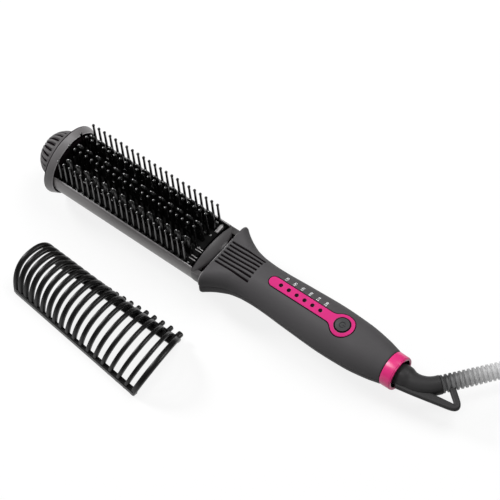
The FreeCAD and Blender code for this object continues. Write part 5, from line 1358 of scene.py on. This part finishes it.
studio = dict(floor=(0.92, 0.92, 0.92), floorRough=0.9, floorSheen=0.1, floorHalf=4.0, glow=0.84,
              world=0.16,
              keyLamp=(17.0, 0.42, (-1.25, 0.0, 0.85)), topLamp=(17.0, 1.0, (0.35, 0.75, 1.35)),
              fillLamp=(3.0, 1.0, (0.9, -0.9, 0.9)), sheenLamp=(27.0, 0.6, (-0.60, -0.24, 1.43)),
              sheenTakers=("upperCasing", "lowerCasing", "endRing", "swivelNeck", "hangLoop"),
              edgeEnergy=110.0, edgeSize=(1.5, 0.85), edgePlace=(-1.17, -0.33, 0.98),
              edgeAlong=(0.06, 0.918, 0.391),
              edgeTakers=("pinRow1", "pinRow2", "pinRow3", "toothRow"))


def layFloor(p):
    # pale floor; the camera sees it mixed with even white, so that only soft contact shadows stay
    mesh = bpy.data.meshes.new("floor")
    corners = [(x * p["floorHalf"], y * p["floorHalf"], 0) for x, y in ((-1, -1), (1, -1), (1, 1), (-1, 1))]
    mesh.from_pydata(corners, [], [(0, 1, 2, 3)])
    floor = newObject("floor", mesh)
    mat = bpy.data.materials.new("paleFloor")
    mat.use_nodes = True
    tree = mat.node_tree
    shader = tree.nodes["Principled BSDF"]
    shader.inputs["Base Color"].default_value = (*p["floor"], 1)
    shader.inputs["Roughness"].default_value = p["floorRough"]
    shader.inputs["Specular IOR Level"].default_value = p["floorSheen"]
    glow = tree.nodes.new("ShaderNodeEmission")
    glow.inputs["Color"].default_value = (1, 1, 1, 1)
    seen = tree.nodes.new("ShaderNodeLightPath")
    mix = tree.nodes.new("ShaderNodeMixShader")
    either = mathNode(tree, "MAXIMUM", seen.outputs["Is Camera Ray"], seen.outputs["Is Glossy Ray"])
    either = mathNode(tree, "MAXIMUM", either, seen.outputs["Is Transmission Ray"])
    tree.links.new(mathNode(tree, "MULTIPLY", either, p["glow"]), mix.inputs[0])
    tree.links.new(shader.outputs[0], mix.inputs[1])
    tree.links.new(glow.outputs[0], mix.inputs[2])
    tree.links.new(mix.outputs[0], tree.nodes["Material Output"].inputs["Surface"])
    mesh.materials.append(mat)


def hangLamp(p, name):
    # round soft lamp of an energy, size and place, facing the middle of the frame
    lamp = bpy.data.lights.new(name, "AREA")
    lamp.shape = "DISK"
    obj = newObject(name, lamp)
    lamp.energy, lamp.size, obj.location = p[name]
    obj.rotation_euler = (-obj.location).to_track_quat("-Z", "Y").to_euler()
    return obj


def lightOnly(lamp, starts):
    # the lamp reaches only the pieces whose names start with one of these words
    takers = bpy.data.collections.new(lamp.name + "Takers")
    for obj in bpy.data.objects:
        if obj.name.startswith(starts):
            takers.objects.link(obj)
    lamp.light_linking.receiver_collection = takers


def hangStrip(p):
    # long strip that only shines in the bristles' reflections; its long side lies along a given direction
    lamp = bpy.data.lights.new("edgeStrip", "AREA")
    lamp.shape, lamp.energy = "RECTANGLE", p["edgeEnergy"]
    lamp.size, lamp.size_y = p["edgeSize"]
    back = Vector(p["edgePlace"]).normalized()
    side = (Vector(p["edgeAlong"]) - back * back.dot(Vector(p["edgeAlong"]))).normalized()
    strip = newObject("edgeStrip", lamp)
    strip.matrix_world = Matrix([side, back.cross(side), back]).transposed().to_4x4()
    strip.location = p["edgePlace"]
    strip.visible_diffuse = False
    lightOnly(strip, p["edgeTakers"])


def skyLight(p):
    # even white surround
    world = bpy.data.worlds.new("surround")
    world.use_nodes = True
    shade = world.node_tree.nodes["Background"]
    shade.inputs["Color"].default_value = (1, 1, 1, 1)
    shade.inputs["Strength"].default_value = p["world"]
    bpy.context.scene.world = world


layFloor(studio)
for lampName in ("keyLamp", "topLamp", "fillLamp"):
    hangLamp(studio, lampName)
lightOnly(hangLamp(studio, "sheenLamp"), studio["sheenTakers"])
hangStrip(studio)
skyLight(studio)
bpy.context.scene.view_settings.view_transform = "Standard"

camera = dict(place=(0.800425, -0.715233, 1.714887), right=(0.775927, 0.625048, -0.085167),
              up=(-0.489107, 0.681368, 0.544529), back=(0.398386, -0.380859, 0.834407), lens=216.0,
              sensor=36.0, reach=20.0)
lens = bpy.data.cameras.new("photoCamera")
lens.lens, lens.sensor_width, lens.clip_end = camera["lens"], camera["sensor"], camera["reach"]
eye = newObject("photoCamera", lens)
eye.matrix_world = Matrix([[camera[k][row] for k in ("right", "up", "back", "place")] for row in range(3)]
                          + [[0, 0, 0, 1]])
bpy.context.scene.camera = eye
bpy.context.view_layer.update()
